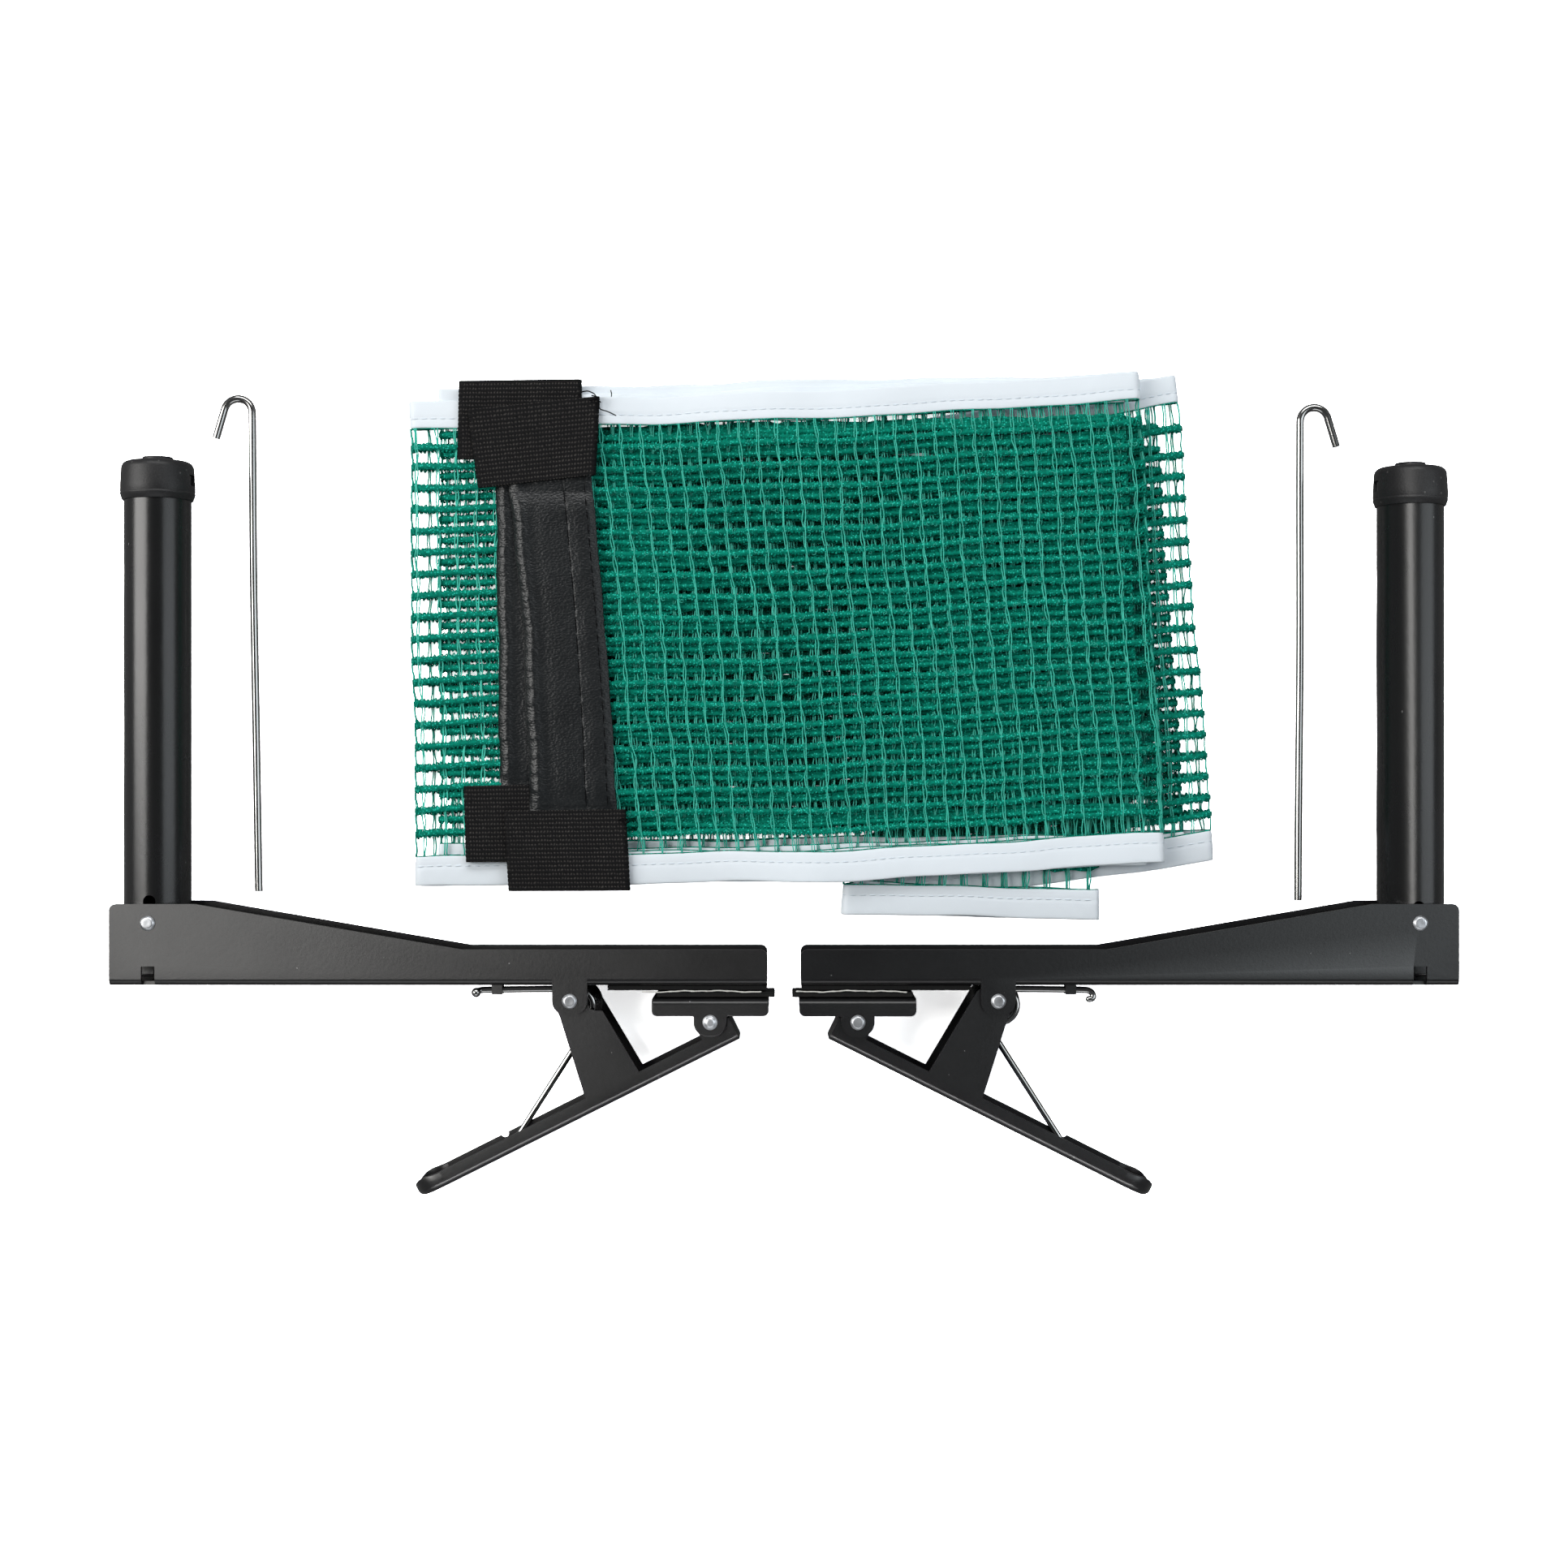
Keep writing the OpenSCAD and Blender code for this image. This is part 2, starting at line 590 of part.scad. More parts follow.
// One flat or sagging stretch of the net or of its tapes, from height h0 to h1 up the net
module net_stretch(a, b, z, h0, h1) {
    if (is_num(z))
        translate([0, 0, z]) linear_extrude(run_t) run_plan(a, b, h0, h1);
    else
        intersection() {
            linear_extrude(6 * run_t) run_plan(a, b, h0, h1);
            sagging_slab(z);
        }
}
module lower_runs(h0, h1) {
    net_stretch(fold_left, fold_low_right, low_run_z, h0, h1);
    net_stretch(fold_tail_left, fold_low_right, return_run_z, h0, h1);
    net_stretch(fold_tail_left, fold_tail_end, tail_run_z, h0, h1);
    net_stretch(fold_left_inner, fold_top_right, second_run_z, h0, h1);
}
module top_run_gaps() {
    mesh_h = net_h - 2 * tape_w;
    row_h = mesh_h / gap_rows;
    column_u = 1 / gap_columns;
    a = fold_sewn;
    b = fold_top_right;
    cord_u = cord_w / norm(fold_point(b, 0) - fold_point(a, 0));
    for (i = [0:gap_columns - 1], j = [0:gap_rows - 1]) {
        u0 = i * column_u + cord_u / 2;
        u1 = (i + 1) * column_u - cord_u / 2;
        h0 = tape_w + j * row_h + cord_w / 2;
        h1 = tape_w + (j + 1) * row_h - cord_w / 2;
        polygon([run_point(a, b, u0, h0), run_point(a, b, u1, h0), run_point(a, b, u1, h1),
            run_point(a, b, u0, h1)]);
    }
}
module net_mesh() {
    h0 = tape_w;
    h1 = net_h - tape_w;
    color(net_green) translate([0, set_shift, 0]) {
        lower_runs(h0, h1);
        intersection() {
            linear_extrude(6 * run_t) difference() {
                run_plan(fold_sewn, fold_top_right, h0, h1);
                top_run_gaps();
            }
            sagging_slab(top_run_z);
        }
    }
}
module net_tape(h0, h1) {
    color(tape_white) translate([0, set_shift, 0]) {
        lower_runs(h0, h1);
        net_stretch(fold_sewn, fold_top_right, top_run_z, h0, h1);
    }
}
module net_bottom_tape() {
    net_tape(0, tape_w);
}
module net_top_tape() {
    net_tape(net_h - tape_w, net_h);
}

// End sleeves and elastic loops lie on the left part of the pile, two layers of them
back_z = 2 * run_t;
front_z = 3 * run_t;
// Seam line of the front sleeve is the sewn edge of the top run; the back one lies further left
sleeve_front_low = 22.0;
sleeve_front_high = 126.3;
back_seam = [fold_x(0.2029), net_rise + 1.7, 0.6];
sleeve_back_low = 29.8;
sleeve_back_high = 131.4;

// Sleeve with its right edge on a seam line, from height h0 to h1 up the net, its two ends tilted
module sleeve(seam, h0, h1, tilt0, tilt1, z) {
    p0 = fold_point(seam, h0);
    p1 = fold_point(seam, h1);
    translate([0, set_shift, z]) linear_extrude(run_t)
        polygon([p0 - sleeve_w * [1, tan(tilt0)], p0, p1, p1 - sleeve_w * [1, tan(tilt1)]]);
}
// Loop sewn to a sleeve's end at height h: it stands l above that end, or below it if up is false
module loop(seam, h, tilt, overhang, l, up, z) {
    p = fold_point(seam, h);
    color(elastic_black) translate([p.x, p.y + set_shift, z]) rotate([0, 0, tilt])
        translate([overhang - loop_w, up ? 0 : -l]) linear_extrude(run_t) square([loop_w, l]);
}
module sleeve_front() {
    color(leatherette)
        sleeve(fold_sewn, sleeve_front_low, sleeve_front_high, 0.3, 5.5, front_z);
}
module sleeve_back() {
    color(leatherette) sleeve(back_seam, sleeve_back_low, sleeve_back_high, 0, 0.4, back_z);
}
module loop_front_top() {
    loop(fold_sewn, sleeve_front_high, 5.5, 0.9, loop_front_top_l, true, front_z);
}
module loop_front_bottom() {
    loop(fold_sewn, sleeve_front_low, 0.3, 3.4, loop_front_bottom_l, false, front_z);
}
module loop_back_top() {
    loop(back_seam, sleeve_back_high, 0.4, 0.6, loop_back_top_l, true, back_z);
}
module loop_back_bottom() {
    loop(back_seam, sleeve_back_low, 0, 1.3, loop_back_bottom_l, false, back_z);
}

net_mesh();
net_top_tape();
net_bottom_tape();
sleeve_front();
sleeve_back();
loop_front_top();
loop_front_bottom();
loop_back_top();
loop_back_bottom();

on_left() bracket();  // bracket_left
on_left() bracket_pad();  // bracket_pad_left
on_left() post_tube(lift_left);  // post_tube_left
on_left() post_cap(lift_left);  // post_cap_left
on_left() post_rivet();  // post_rivet_left
on_left() lever();  // lever_left
on_left() lever_rivet();  // lever_rivet_left
on_left() lever_spring();  // lever_spring_left
on_left() jaw();  // jaw_left
on_left() jaw_pad();  // jaw_pad_left
on_left() jaw_rivet();  // jaw_rivet_left
hook_rod_left();

on_right() bracket();  // bracket_right
on_right() bracket_pad();  // bracket_pad_right
on_right() post_tube(lift_right);  // post_tube_right
on_right() post_cap(lift_right);  // post_cap_right
on_right() post_rivet();  // post_rivet_right
on_right() lever();  // lever_right
on_right() lever_rivet();  // lever_rivet_right
on_right() lever_spring();  // lever_spring_right
on_right() jaw();  // jaw_right
on_right() jaw_pad();  // jaw_pad_right
on_right() jaw_rivet();  // jaw_rivet_right
hook_rod_right();
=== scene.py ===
import json
from math import pi, radians

import bpy
import bmesh
import numpy as np
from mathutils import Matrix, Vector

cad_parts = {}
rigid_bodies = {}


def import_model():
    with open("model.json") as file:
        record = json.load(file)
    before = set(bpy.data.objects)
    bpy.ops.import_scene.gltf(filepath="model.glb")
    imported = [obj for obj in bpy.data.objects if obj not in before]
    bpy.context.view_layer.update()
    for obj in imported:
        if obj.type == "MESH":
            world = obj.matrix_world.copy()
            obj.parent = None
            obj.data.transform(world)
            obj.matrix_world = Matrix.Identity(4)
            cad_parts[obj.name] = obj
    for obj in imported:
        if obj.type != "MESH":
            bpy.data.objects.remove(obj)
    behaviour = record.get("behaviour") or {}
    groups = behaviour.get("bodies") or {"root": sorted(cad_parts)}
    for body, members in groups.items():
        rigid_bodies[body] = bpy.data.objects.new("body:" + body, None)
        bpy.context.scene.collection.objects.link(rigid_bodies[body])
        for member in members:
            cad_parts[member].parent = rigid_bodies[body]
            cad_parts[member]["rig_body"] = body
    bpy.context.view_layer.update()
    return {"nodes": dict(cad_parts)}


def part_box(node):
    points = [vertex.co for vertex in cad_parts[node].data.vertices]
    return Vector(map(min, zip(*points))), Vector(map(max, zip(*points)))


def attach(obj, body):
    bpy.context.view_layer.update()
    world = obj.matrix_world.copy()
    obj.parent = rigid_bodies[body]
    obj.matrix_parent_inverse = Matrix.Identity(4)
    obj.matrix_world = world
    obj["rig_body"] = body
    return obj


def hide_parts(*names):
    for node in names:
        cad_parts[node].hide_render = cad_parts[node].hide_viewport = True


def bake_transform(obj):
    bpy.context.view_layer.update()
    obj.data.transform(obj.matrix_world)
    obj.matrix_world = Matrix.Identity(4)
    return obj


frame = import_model()
mm = 0.001
draw = np.random.default_rng(7)      # every random draw comes from here, in this order


# view and light

cameraSettings = {"height": 742.7, "aimY": -0.68, "lens": 54.41, "sensor": 36.0}

lightSettings = {
    # name: place in metres, size in metres, watts, colour, and what it shines on
    "keyLeft": ((-1.50, 0.30, 1.25), (0.75, 1.5), 30.0, (1.0, 0.985, 0.96), "allButPostRight"),
    "keyRight": ((-0.20, 0.25, 1.45), (0.36, 1.1), 11.0, (1.0, 0.985, 0.96), "postRight"),
    "fillRight": ((1.35, 0.10, 1.15), (0.7, 1.4), 7.0, (0.90, 0.96, 1.0), "all"),
    "flatLeft": ((-0.74, -0.10, 1.35), (0.55, 0.9), 7.5, (1.0, 0.985, 0.96), "steelLeft"),
    "flatRight": ((0.76, -0.10, 1.35), (0.55, 0.9), 2.3, (0.90, 0.97, 1.0), "steelRight"),
    "topBack": ((0.10, 1.30, 1.10), (1.6, 0.6), 16.0, (1.0, 1.0, 1.0), "all"),
    "frontLow": ((0.0, -1.35, 0.85), (1.6, 0.5), 5.0, (0.97, 0.99, 1.0), "all"),
    "leverLine": ((0.0, -0.85, 0.90), (0.8, 0.07), 6.0, (1.0, 1.0, 1.0), "levers"),
}
shoneOn = {
    # pieces by the start of their names
    "postRight": ("post_tube_right", "post_cap_right"),
    "steelLeft": ("bracket_left_sheet", "lever_left", "jaw_left"),
    "steelRight": ("bracket_right_sheet", "lever_right", "jaw_right"),
    "levers": ("lever_left", "lever_right", "jaw_left", "jaw_right"),
}
skySettings = {"horizon": 0.20, "zenith": 0.08, "tint": (0.96, 0.98, 1.0), "low": 0.15, "high": 0.85}
# brightness of the floor for plain, glossy and camera rays, and the light it adds for the camera
floorSettings = {"size": 8.0, "drop": 0.2, "colour": 0.86, "gloss": 0.22, "seen": 5.0, "glow": 0.62}


def newObject(name, data):
    # an object at the origin of the scene
    thing = bpy.data.objects.new(name, data)
    bpy.context.scene.collection.objects.link(thing)
    return thing


def newNode(nodes, kind, sockets=(), **switches):
    # a shader node with its operation or data type, and the values of its unlinked sockets
    node = nodes.new(f"ShaderNode{kind}")
    for label, value in switches.items():
        setattr(node, label, value)
    for label, value in dict(sockets).items():
        node.inputs[label].default_value = value
    return node


def connect(tree, *pairs):
    # draws links, each from an output to an input
    for source, target in pairs:
        tree.links.new(source, target)


def makeCamera(settings):
    # straight above the object, looking down
    lens = bpy.data.cameras.new("camera")
    lens.lens = settings["lens"]
    lens.sensor_width = settings["sensor"]
    lens.clip_start = 0.01
    eye = newObject("camera", lens)
    eye.location = (0, settings["aimY"] * mm, settings["height"] * mm)
    bpy.context.scene.camera = eye


def makeLights(lights):
    # soft boxes that all face the middle of the object
    for name, (place, size, power, colour, _) in lights.items():
        lamp = bpy.data.lights.new(name, "AREA")
        lamp.shape = "RECTANGLE"
        lamp.size, lamp.size_y = size
        lamp.energy = power
        lamp.color = colour
        holder = newObject(name, lamp)
        holder.location = place
        holder.rotation_euler = (-holder.location).to_track_quat("-Z", "Y").to_euler()


def aimLights(lights):
    # soft boxes that are flagged off from some of the pieces, once these are made
    pieces = [thing for thing in bpy.data.objects if thing.type == "MESH"]
    for name, (*_, target) in lights.items():
        if target == "all":
            continue
        excluding = target == "allButPostRight"
        starts = shoneOn["postRight" if excluding else target]
        chosen = bpy.data.collections.new(f"litBy_{name}")
        for piece in pieces:
            if piece.name.startswith(starts) != excluding:
                chosen.objects.link(piece)
        bpy.data.objects[name].light_linking.receiver_collection = chosen


def makeSky(settings):
    # plain studio air: pale at the horizon and dim overhead, and pure white behind the object
    world = bpy.data.worlds.new("studio")
    bpy.context.scene.world = world
    world.use_nodes = True
    nodes = world.node_tree.nodes
    nodes.clear()
    coords = newNode(nodes, "TexCoord")
    split = newNode(nodes, "SeparateXYZ")
    rise = newNode(nodes, "MapRange", {"From Min": settings["low"], "From Max": settings["high"],
                                       "To Min": settings["horizon"], "To Max": settings["zenith"]})
    air = newNode(nodes, "Background", {"Color": (*settings["tint"], 1)})
    plain = newNode(nodes, "Background")
    rays = newNode(nodes, "LightPath")
    either = newNode(nodes, "Math", operation="MAXIMUM")
    mix = newNode(nodes, "MixShader")
    out = newNode(nodes, "OutputWorld")
    connect(world.node_tree,
            (coords.outputs["Generated"], split.inputs[0]), (split.outputs["Z"], rise.inputs["Value"]),
            (rise.outputs[0], air.inputs["Strength"]), (rays.outputs["Is Camera Ray"], either.inputs[0]),
            (rays.outputs["Is Transmission Ray"], either.inputs[1]), (either.outputs[0], mix.inputs[0]),
            (air.outputs[0], mix.inputs[1]), (plain.outputs[0], mix.inputs[2]),
            (mix.outputs[0], out.inputs[0]))


def makeFloor(settings):
    # a white table, overexposed for the camera alone: it stays white in soft shadow and turns
    # grey only where little light gets in; what is glossy mirrors it as a grey one
    half, level = settings["size"] / 2, -settings["drop"] * mm
    mesh = bpy.data.meshes.new("floor")
    corners = [(-half, -half, level), (half, -half, level), (half, half, level), (-half, half, level)]
    mesh.from_pydata(corners, [], [(0, 1, 2, 3)])
    floor = newObject("floor", mesh)
    paint = bpy.data.materials.new("floorWhite")
    paint.use_nodes = True
    nodes = paint.node_tree.nodes
    nodes.clear()
    matt, dull, bright = (newNode(nodes, "BsdfDiffuse", {"Color": (settings[key],) * 3 + (1,)})
                          for key in ("colour", "gloss", "seen"))
    glow = newNode(nodes, "Emission", {"Strength": settings["glow"]})
    both = newNode(nodes, "AddShader")
    rays = newNode(nodes, "LightPath")
    mirrored, mix = newNode(nodes, "MixShader"), newNode(nodes, "MixShader")
    out = newNode(nodes, "OutputMaterial")
    connect(paint.node_tree,
            (bright.outputs[0], both.inputs[0]), (glow.outputs[0], both.inputs[1]),
            (rays.outputs["Is Glossy Ray"], mirrored.inputs[0]), (matt.outputs[0], mirrored.inputs[1]),
            (dull.outputs[0], mirrored.inputs[2]), (rays.outputs["Is Camera Ray"], mix.inputs[0]),
            (mirrored.outputs[0], mix.inputs[1]), (both.outputs[0], mix.inputs[2]),
            (mix.outputs[0], out.inputs[0]))
    mesh.materials.append(paint)


bpy.context.scene.view_settings.view_transform = "Standard"
makeCamera(cameraSettings)
makeLights(lightSettings)
makeSky(skySettings)
makeFloor(floorSettings)
print("view, light and floor are up")


# finishes: effects shared by several materials are groups

def makeGroup(name, inputs, outputs):
    # a node group that takes a place on the surface and some named numbers and colours
    group = bpy.data.node_groups.new(name, "ShaderNodeTree")
    group.interface.new_socket(name="Vector", in_out="INPUT", socket_type="NodeSocketVector")
    for label, value in inputs.items():
        kind = "NodeSocketColor" if isinstance(value, tuple) else "NodeSocketFloat"
        socket = group.interface.new_socket(name=label, in_out="INPUT", socket_type=kind)
        socket.default_value = value
    for label, kind in outputs.items():
        group.interface.new_socket(name=label, in_out="OUTPUT", socket_type=f"NodeSocket{kind}")
    return group, group.nodes.new("NodeGroupInput").outputs, group.nodes.new("NodeGroupOutput").inputs


def groupToneDrift():
    # a colour that wanders a little lighter and darker over the surface: times 1 + amount * (2 noise - 1)
    group, given, result = makeGroup(
        "toneDrift", {"Color": (0.5, 0.5, 0.5, 1), "Scale": 100.0, "Amount": 0.2},
        {"Color": "Color", "Tone": "Float"})
    cloud = newNode(group.nodes, "TexNoise", {"Detail": 5.0})
    centred = newNode(group.nodes, "Math", {1: 2.0, 2: -1.0}, operation="MULTIPLY_ADD")
    gain = newNode(group.nodes, "Math", {2: 1.0}, operation="MULTIPLY_ADD")
    shade = newNode(group.nodes, "VectorMath", operation="SCALE")
    connect(group,
            (given["Vector"], cloud.inputs["Vector"]), (given["Scale"], cloud.inputs["Scale"]),
            (cloud.outputs["Fac"], centred.inputs[0]), (centred.outputs[0], gain.inputs[0]),
            (given["Amount"], gain.inputs[1]), (given["Color"], shade.inputs[0]),
            (gain.outputs[0], shade.inputs["Scale"]), (shade.outputs[0], result["Color"]),
            (cloud.outputs["Fac"], result["Tone"]))
    return group


def groupGrain():
    # fine irregular height for a Bump node: rounded cells mixed with a finer noise
    group, given, result = makeGroup("grain", {"Cell Scale": 800.0, "Noise Scale": 2000.0, "Cells": 0.5},
                                     {"Height": "Float"})
    cells = newNode(group.nodes, "TexVoronoi", {"Smoothness": 0.6}, feature="SMOOTH_F1")
    fine = newNode(group.nodes, "TexNoise", {"Detail": 3.0})
    mix = newNode(group.nodes, "Mix")
    connect(group,
            (given["Vector"], cells.inputs["Vector"]), (given["Cell Scale"], cells.inputs["Scale"]),
            (given["Vector"], fine.inputs["Vector"]), (given["Noise Scale"], fine.inputs["Scale"]),
            (given["Cells"], mix.inputs[0]), (fine.outputs["Fac"], mix.inputs[2]),
            (cells.outputs["Distance"], mix.inputs[3]), (mix.outputs[0], result["Height"]))
    return group


def groupSpecksAndHighlights():
    # small scattered dots, as of dust, chips in a coat and lint, and painted highlights on the net's yarn:
    # near a cell's point, in some cells
    group, given, result = makeGroup("specks", {"Scale": 200.0, "Size": 0.1, "Amount": 0.3},
                                     {"Mask": "Float"})
    dots = newNode(group.nodes, "TexVoronoi", {"Randomness": 1.0})
    near = newNode(group.nodes, "Math", operation="LESS_THAN")
    pick = newNode(group.nodes, "SeparateColor")
    chosen = newNode(group.nodes, "Math", operation="LESS_THAN")
    both = newNode(group.nodes, "Math", operation="MULTIPLY")
    connect(group,
            (given["Vector"], dots.inputs["Vector"]), (given["Scale"], dots.inputs["Scale"]),
            (dots.outputs["Distance"], near.inputs[0]), (given["Size"], near.inputs[1]),
            (dots.outputs["Color"], pick.inputs[0]), (pick.outputs[0], chosen.inputs[0]),
            (given["Amount"], chosen.inputs[1]), (near.outputs[0], both.inputs[0]),
            (chosen.outputs[0], both.inputs[1]), (both.outputs[0], result["Mask"]))
    return group


toneDrift, grain, specks = groupToneDrift(), groupGrain(), groupSpecksAndHighlights()


def placeGroup(material, group, vector, values):
    # a group in a material, with its own values
    node = newNode(material.node_tree.nodes, "Group", values, node_tree=group)
    connect(material.node_tree, (vector, node.inputs["Vector"]))
    return node


def grainBump(material, place, cellScale, noiseScale, cells, strength, depth):
    # the grain group as a bump of the material's surface; depth in mm
    height = placeGroup(material, grain, place, {"Cell Scale": cellScale, "Noise Scale": noiseScale,
                                                 "Cells": cells})
    bump = newNode(material.node_tree.nodes, "Bump", {"Strength": strength, "Distance": depth * mm})
    surface = material.node_tree.nodes["Principled BSDF"]
    connect(material.node_tree, (height.outputs["Height"], bump.inputs["Height"]),
            (bump.outputs[0], surface.inputs["Normal"]))


def makeFinish(name, look):
    # one Principled surface: drifting colour, drifting roughness, grain as bump, and specks, which on the
    # net's yarn are painted highlights
    material = bpy.data.materials.new(name)
    material.use_nodes = True
    tree, nodes = material.node_tree, material.node_tree.nodes
    surface = nodes["Principled BSDF"]
    for label, value in look.get("sockets", {}).items():
        surface.inputs[label].default_value = value
    place = newNode(nodes, "TexCoord").outputs["Object"]
    if "stretch" in look:
        turn = newNode(nodes, "Mapping", {"Scale": look["stretch"]})
        connect(tree, (place, turn.inputs[0]))
        place = turn.outputs[0]
    scale, amount = look["drift"]
    drift = placeGroup(material, toneDrift, place, {"Color": (*look["colour"], 1), "Scale": scale,
                                                    "Amount": amount})
    colour = drift.outputs["Color"]
    # specks: dust and chips on the coats and rubber, painted highlights on the net's yarn
    if "specks" in look:
        speckAndHighlightColour, scale, size, amount = look["specks"]
        dots = placeGroup(material, specks, place, {"Scale": scale, "Size": size, "Amount": amount})
        blend = newNode(nodes, "Mix", {7: (*speckAndHighlightColour, 1)}, data_type="RGBA")
        connect(tree, (dots.outputs["Mask"], blend.inputs[0]), (colour, blend.inputs[6]))
        colour = blend.outputs[2]
    low, high = look["roughness"]
    rough = newNode(nodes, "MapRange", {"To Min": low, "To Max": high})
    connect(tree, (colour, surface.inputs["Base Color"]), (drift.outputs["Tone"], rough.inputs["Value"]),
            (rough.outputs[0], surface.inputs["Roughness"]))
    grainBump(material, place, *look["grain"])
    return material


finishes = {
    # drift: scale and amount of the colour's wandering; roughness: low and high
    # grain: cell scale, noise scale, share of cells, bump strength, bump depth in mm
    # specks: colour, scale, size, amount; on the net's yarn they are painted highlights
    "powderCoat": {"colour": (0.0055, 0.0055, 0.006), "drift": (60, 0.25), "roughness": (0.25, 0.34),
                   "grain": (900, 2200, 0.35, 0.35, 0.08),
                   "specks": ((0.14, 0.14, 0.14), 420, 0.085, 0.06),
                   "sockets": {"Specular IOR Level": 0.5}},
    "tubeCoat": {"colour": (0.0065, 0.0068, 0.0072), "drift": (60, 0.25), "roughness": (0.22, 0.32),
                 "grain": (260, 620, 0.35, 0.45, 0.07), "stretch": (1.0, 0.45, 1.0),
                 "specks": ((0.14, 0.14, 0.14), 420, 0.08, 0.05), "sockets": {"Specular IOR Level": 0.5}},
    "zincWire": {"colour": (0.36, 0.36, 0.355), "drift": (160, 0.15), "roughness": (0.12, 0.2),
                 "grain": (500, 1100, 0.3, 0.12, 0.03), "sockets": {"Metallic": 1.0}},
    "rivetZinc": {"colour": (0.78, 0.8, 0.83), "drift": (400, 0.22), "roughness": (0.3, 0.48),
                  "grain": (900, 1800, 0.4, 0.3, 0.06), "sockets": {"Metallic": 1.0}},
    "capRubber": {"colour": (0.01, 0.01, 0.011), "drift": (150, 0.2), "roughness": (0.4, 0.54),
                  "grain": (1500, 2600, 0.5, 0.55, 0.1),
                  "specks": ((0.06, 0.06, 0.06), 700, 0.22, 0.12),
                  "sockets": {"Specular IOR Level": 0.45}},
    "padRubber": {"colour": (0.007, 0.007, 0.007), "drift": (300, 0.3), "roughness": (0.75, 0.9),
                  "grain": (1200, 2500, 0.5, 0.8, 0.15), "sockets": {"Specular IOR Level": 0.25}},
    "padGlue": {"colour": (0.62, 0.62, 0.58), "drift": (300, 0.35), "roughness": (0.5, 0.7),
                "grain": (900, 1800, 0.4, 0.5, 0.1)},
    "netYarn": {"colour": (0.0003, 0.18, 0.122), "drift": (1100, 0.9), "roughness": (0.55, 0.75),
                "grain": (2600, 4200, 0.4, 0.9, 0.12),
                # pale mint dots: painted highlights on the yarn's stitches
                "specks": ((0.022, 0.48, 0.36), 1500, 0.36, 0.52),
                "sockets": {"Specular IOR Level": 0.06}},
    "netThread": {"colour": (0.05, 0.47, 0.36), "drift": (240, 0.45), "roughness": (0.35, 0.5),
                  "grain": (3000, 5000, 0.3, 0.4, 0.05), "sockets": {"Specular IOR Level": 0.2}},
    "tapeWhite": {"colour": (0.73, 0.79, 0.84), "drift": (45, 0.05), "roughness": (0.45, 0.6),
                  "grain": (1600, 2600, 0.5, 0.35, 0.05)},
    "tapeStitch": {"colour": (0.66, 0.73, 0.8), "drift": (300, 0.15), "roughness": (0.5, 0.7),
                   "grain": (2600, 4000, 0.5, 0.5, 0.05)},
    "leatherette": {"colour": (0.0065, 0.008, 0.009), "drift": (70, 0.25), "roughness": (0.3, 0.4),
                    "grain": (1100, 2000, 0.7, 0.6, 0.3), "stretch": (1.0, 1.7, 1.0),
                    "sockets": {"Specular IOR Level": 0.42}},
    "blackThread": {"colour": (0.002, 0.002, 0.0025), "drift": (300, 0.3), "roughness": (0.5, 0.7),
                    "grain": (2600, 4000, 0.5, 0.5, 0.05), "sockets": {"Specular IOR Level": 0.05}},
}
looks = {name: makeFinish(name, look) for name, look in finishes.items()}
print("finishes:", len(looks))


# mesh makers: points are worked out as whole arrays, in mm, and scaled once here

def gridFaces(rows, columns, wrapRows=False, wrapColumns=False):
    # four corners of each cell of a grid of points numbered row by row
    i = np.arange(rows if wrapRows else rows - 1)[:, None]
    j = np.arange(columns if wrapColumns else columns - 1)[None, :]
    nextRow, nextColumn = (i + 1) % rows, (j + 1) % columns
    corners = [i * columns + j, i * columns + nextColumn, nextRow * columns + nextColumn,
               nextRow * columns + j]
    return np.stack(np.broadcast_arrays(*corners), -1).reshape(-1, 4)


def tubeFaces(rows, columns):
    # the faces of a tube of rows of points, closed at both ends by strips across it
    half = np.arange(columns // 2 - 1)
    cap = np.stack([half, half + 1, columns - 2 - half, columns - 1 - half], -1)
    sides = gridFaces(rows, columns, wrapColumns=True)
    return np.concatenate([sides, cap[:, ::-1], cap + (rows - 1) * columns])


def facingOut(points, faces):
    # a closed shell's signed volume, summed over its faces, is positive when they face outwards
    a, b, c, d = (points[faces[:, k]] for k in range(4))
    volume = np.einsum("ij,ij->", a, np.cross(b, c)) + np.einsum("ij,ij->", a, np.cross(c, d))
    return faces if volume > 0 else faces[:, ::-1]


def makeMesh(name, points, faces):
    # a mesh from points in mm and faces of four corners
    mesh = bpy.data.meshes.new(name)
    mesh.vertices.add(len(points))
    mesh.vertices.foreach_set("co", np.ascontiguousarray(points * mm, np.float32).ravel())
    mesh.loops.add(faces.size)
    mesh.loops.foreach_set("vertex_index", np.ascontiguousarray(faces, np.int32).ravel())
    mesh.polygons.add(len(faces))
    mesh.polygons.foreach_set("loop_start", np.arange(0, faces.size, faces.shape[1], dtype=np.int32))
    mesh.update(calc_edges=True)
    return mesh


def closedMesh(name, points, faces):
    # the same for closed shells, turned to face outwards
    return makeMesh(name, points, facingOut(points, faces))


def weld(mesh, gap=0.001):
    # closes poles and seams by merging points that lie on each other
    work = bmesh.new()
    work.from_mesh(mesh)
    bmesh.ops.remove_doubles(work, verts=work.verts, dist=gap * mm)
    bmesh.ops.dissolve_degenerate(work, dist=gap * mm * 0.5, edges=work.edges)
    bmesh.ops.recalc_face_normals(work, faces=work.faces)
    work.to_mesh(mesh)
    work.free()


def addPiece(name, mesh, look, body, nodes=(), sharp=40):
    # a finished piece with its body and the nodes whose place it takes
    mesh.materials.clear()
    mesh.materials.append(looks[look])
    mesh.shade_smooth()
    if sharp:
        mesh.set_sharp_from_angle(angle=radians(sharp))
    piece = newObject(name, mesh)
    if body:
        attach(piece, body)
    if nodes:
        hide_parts(*nodes)
    return piece


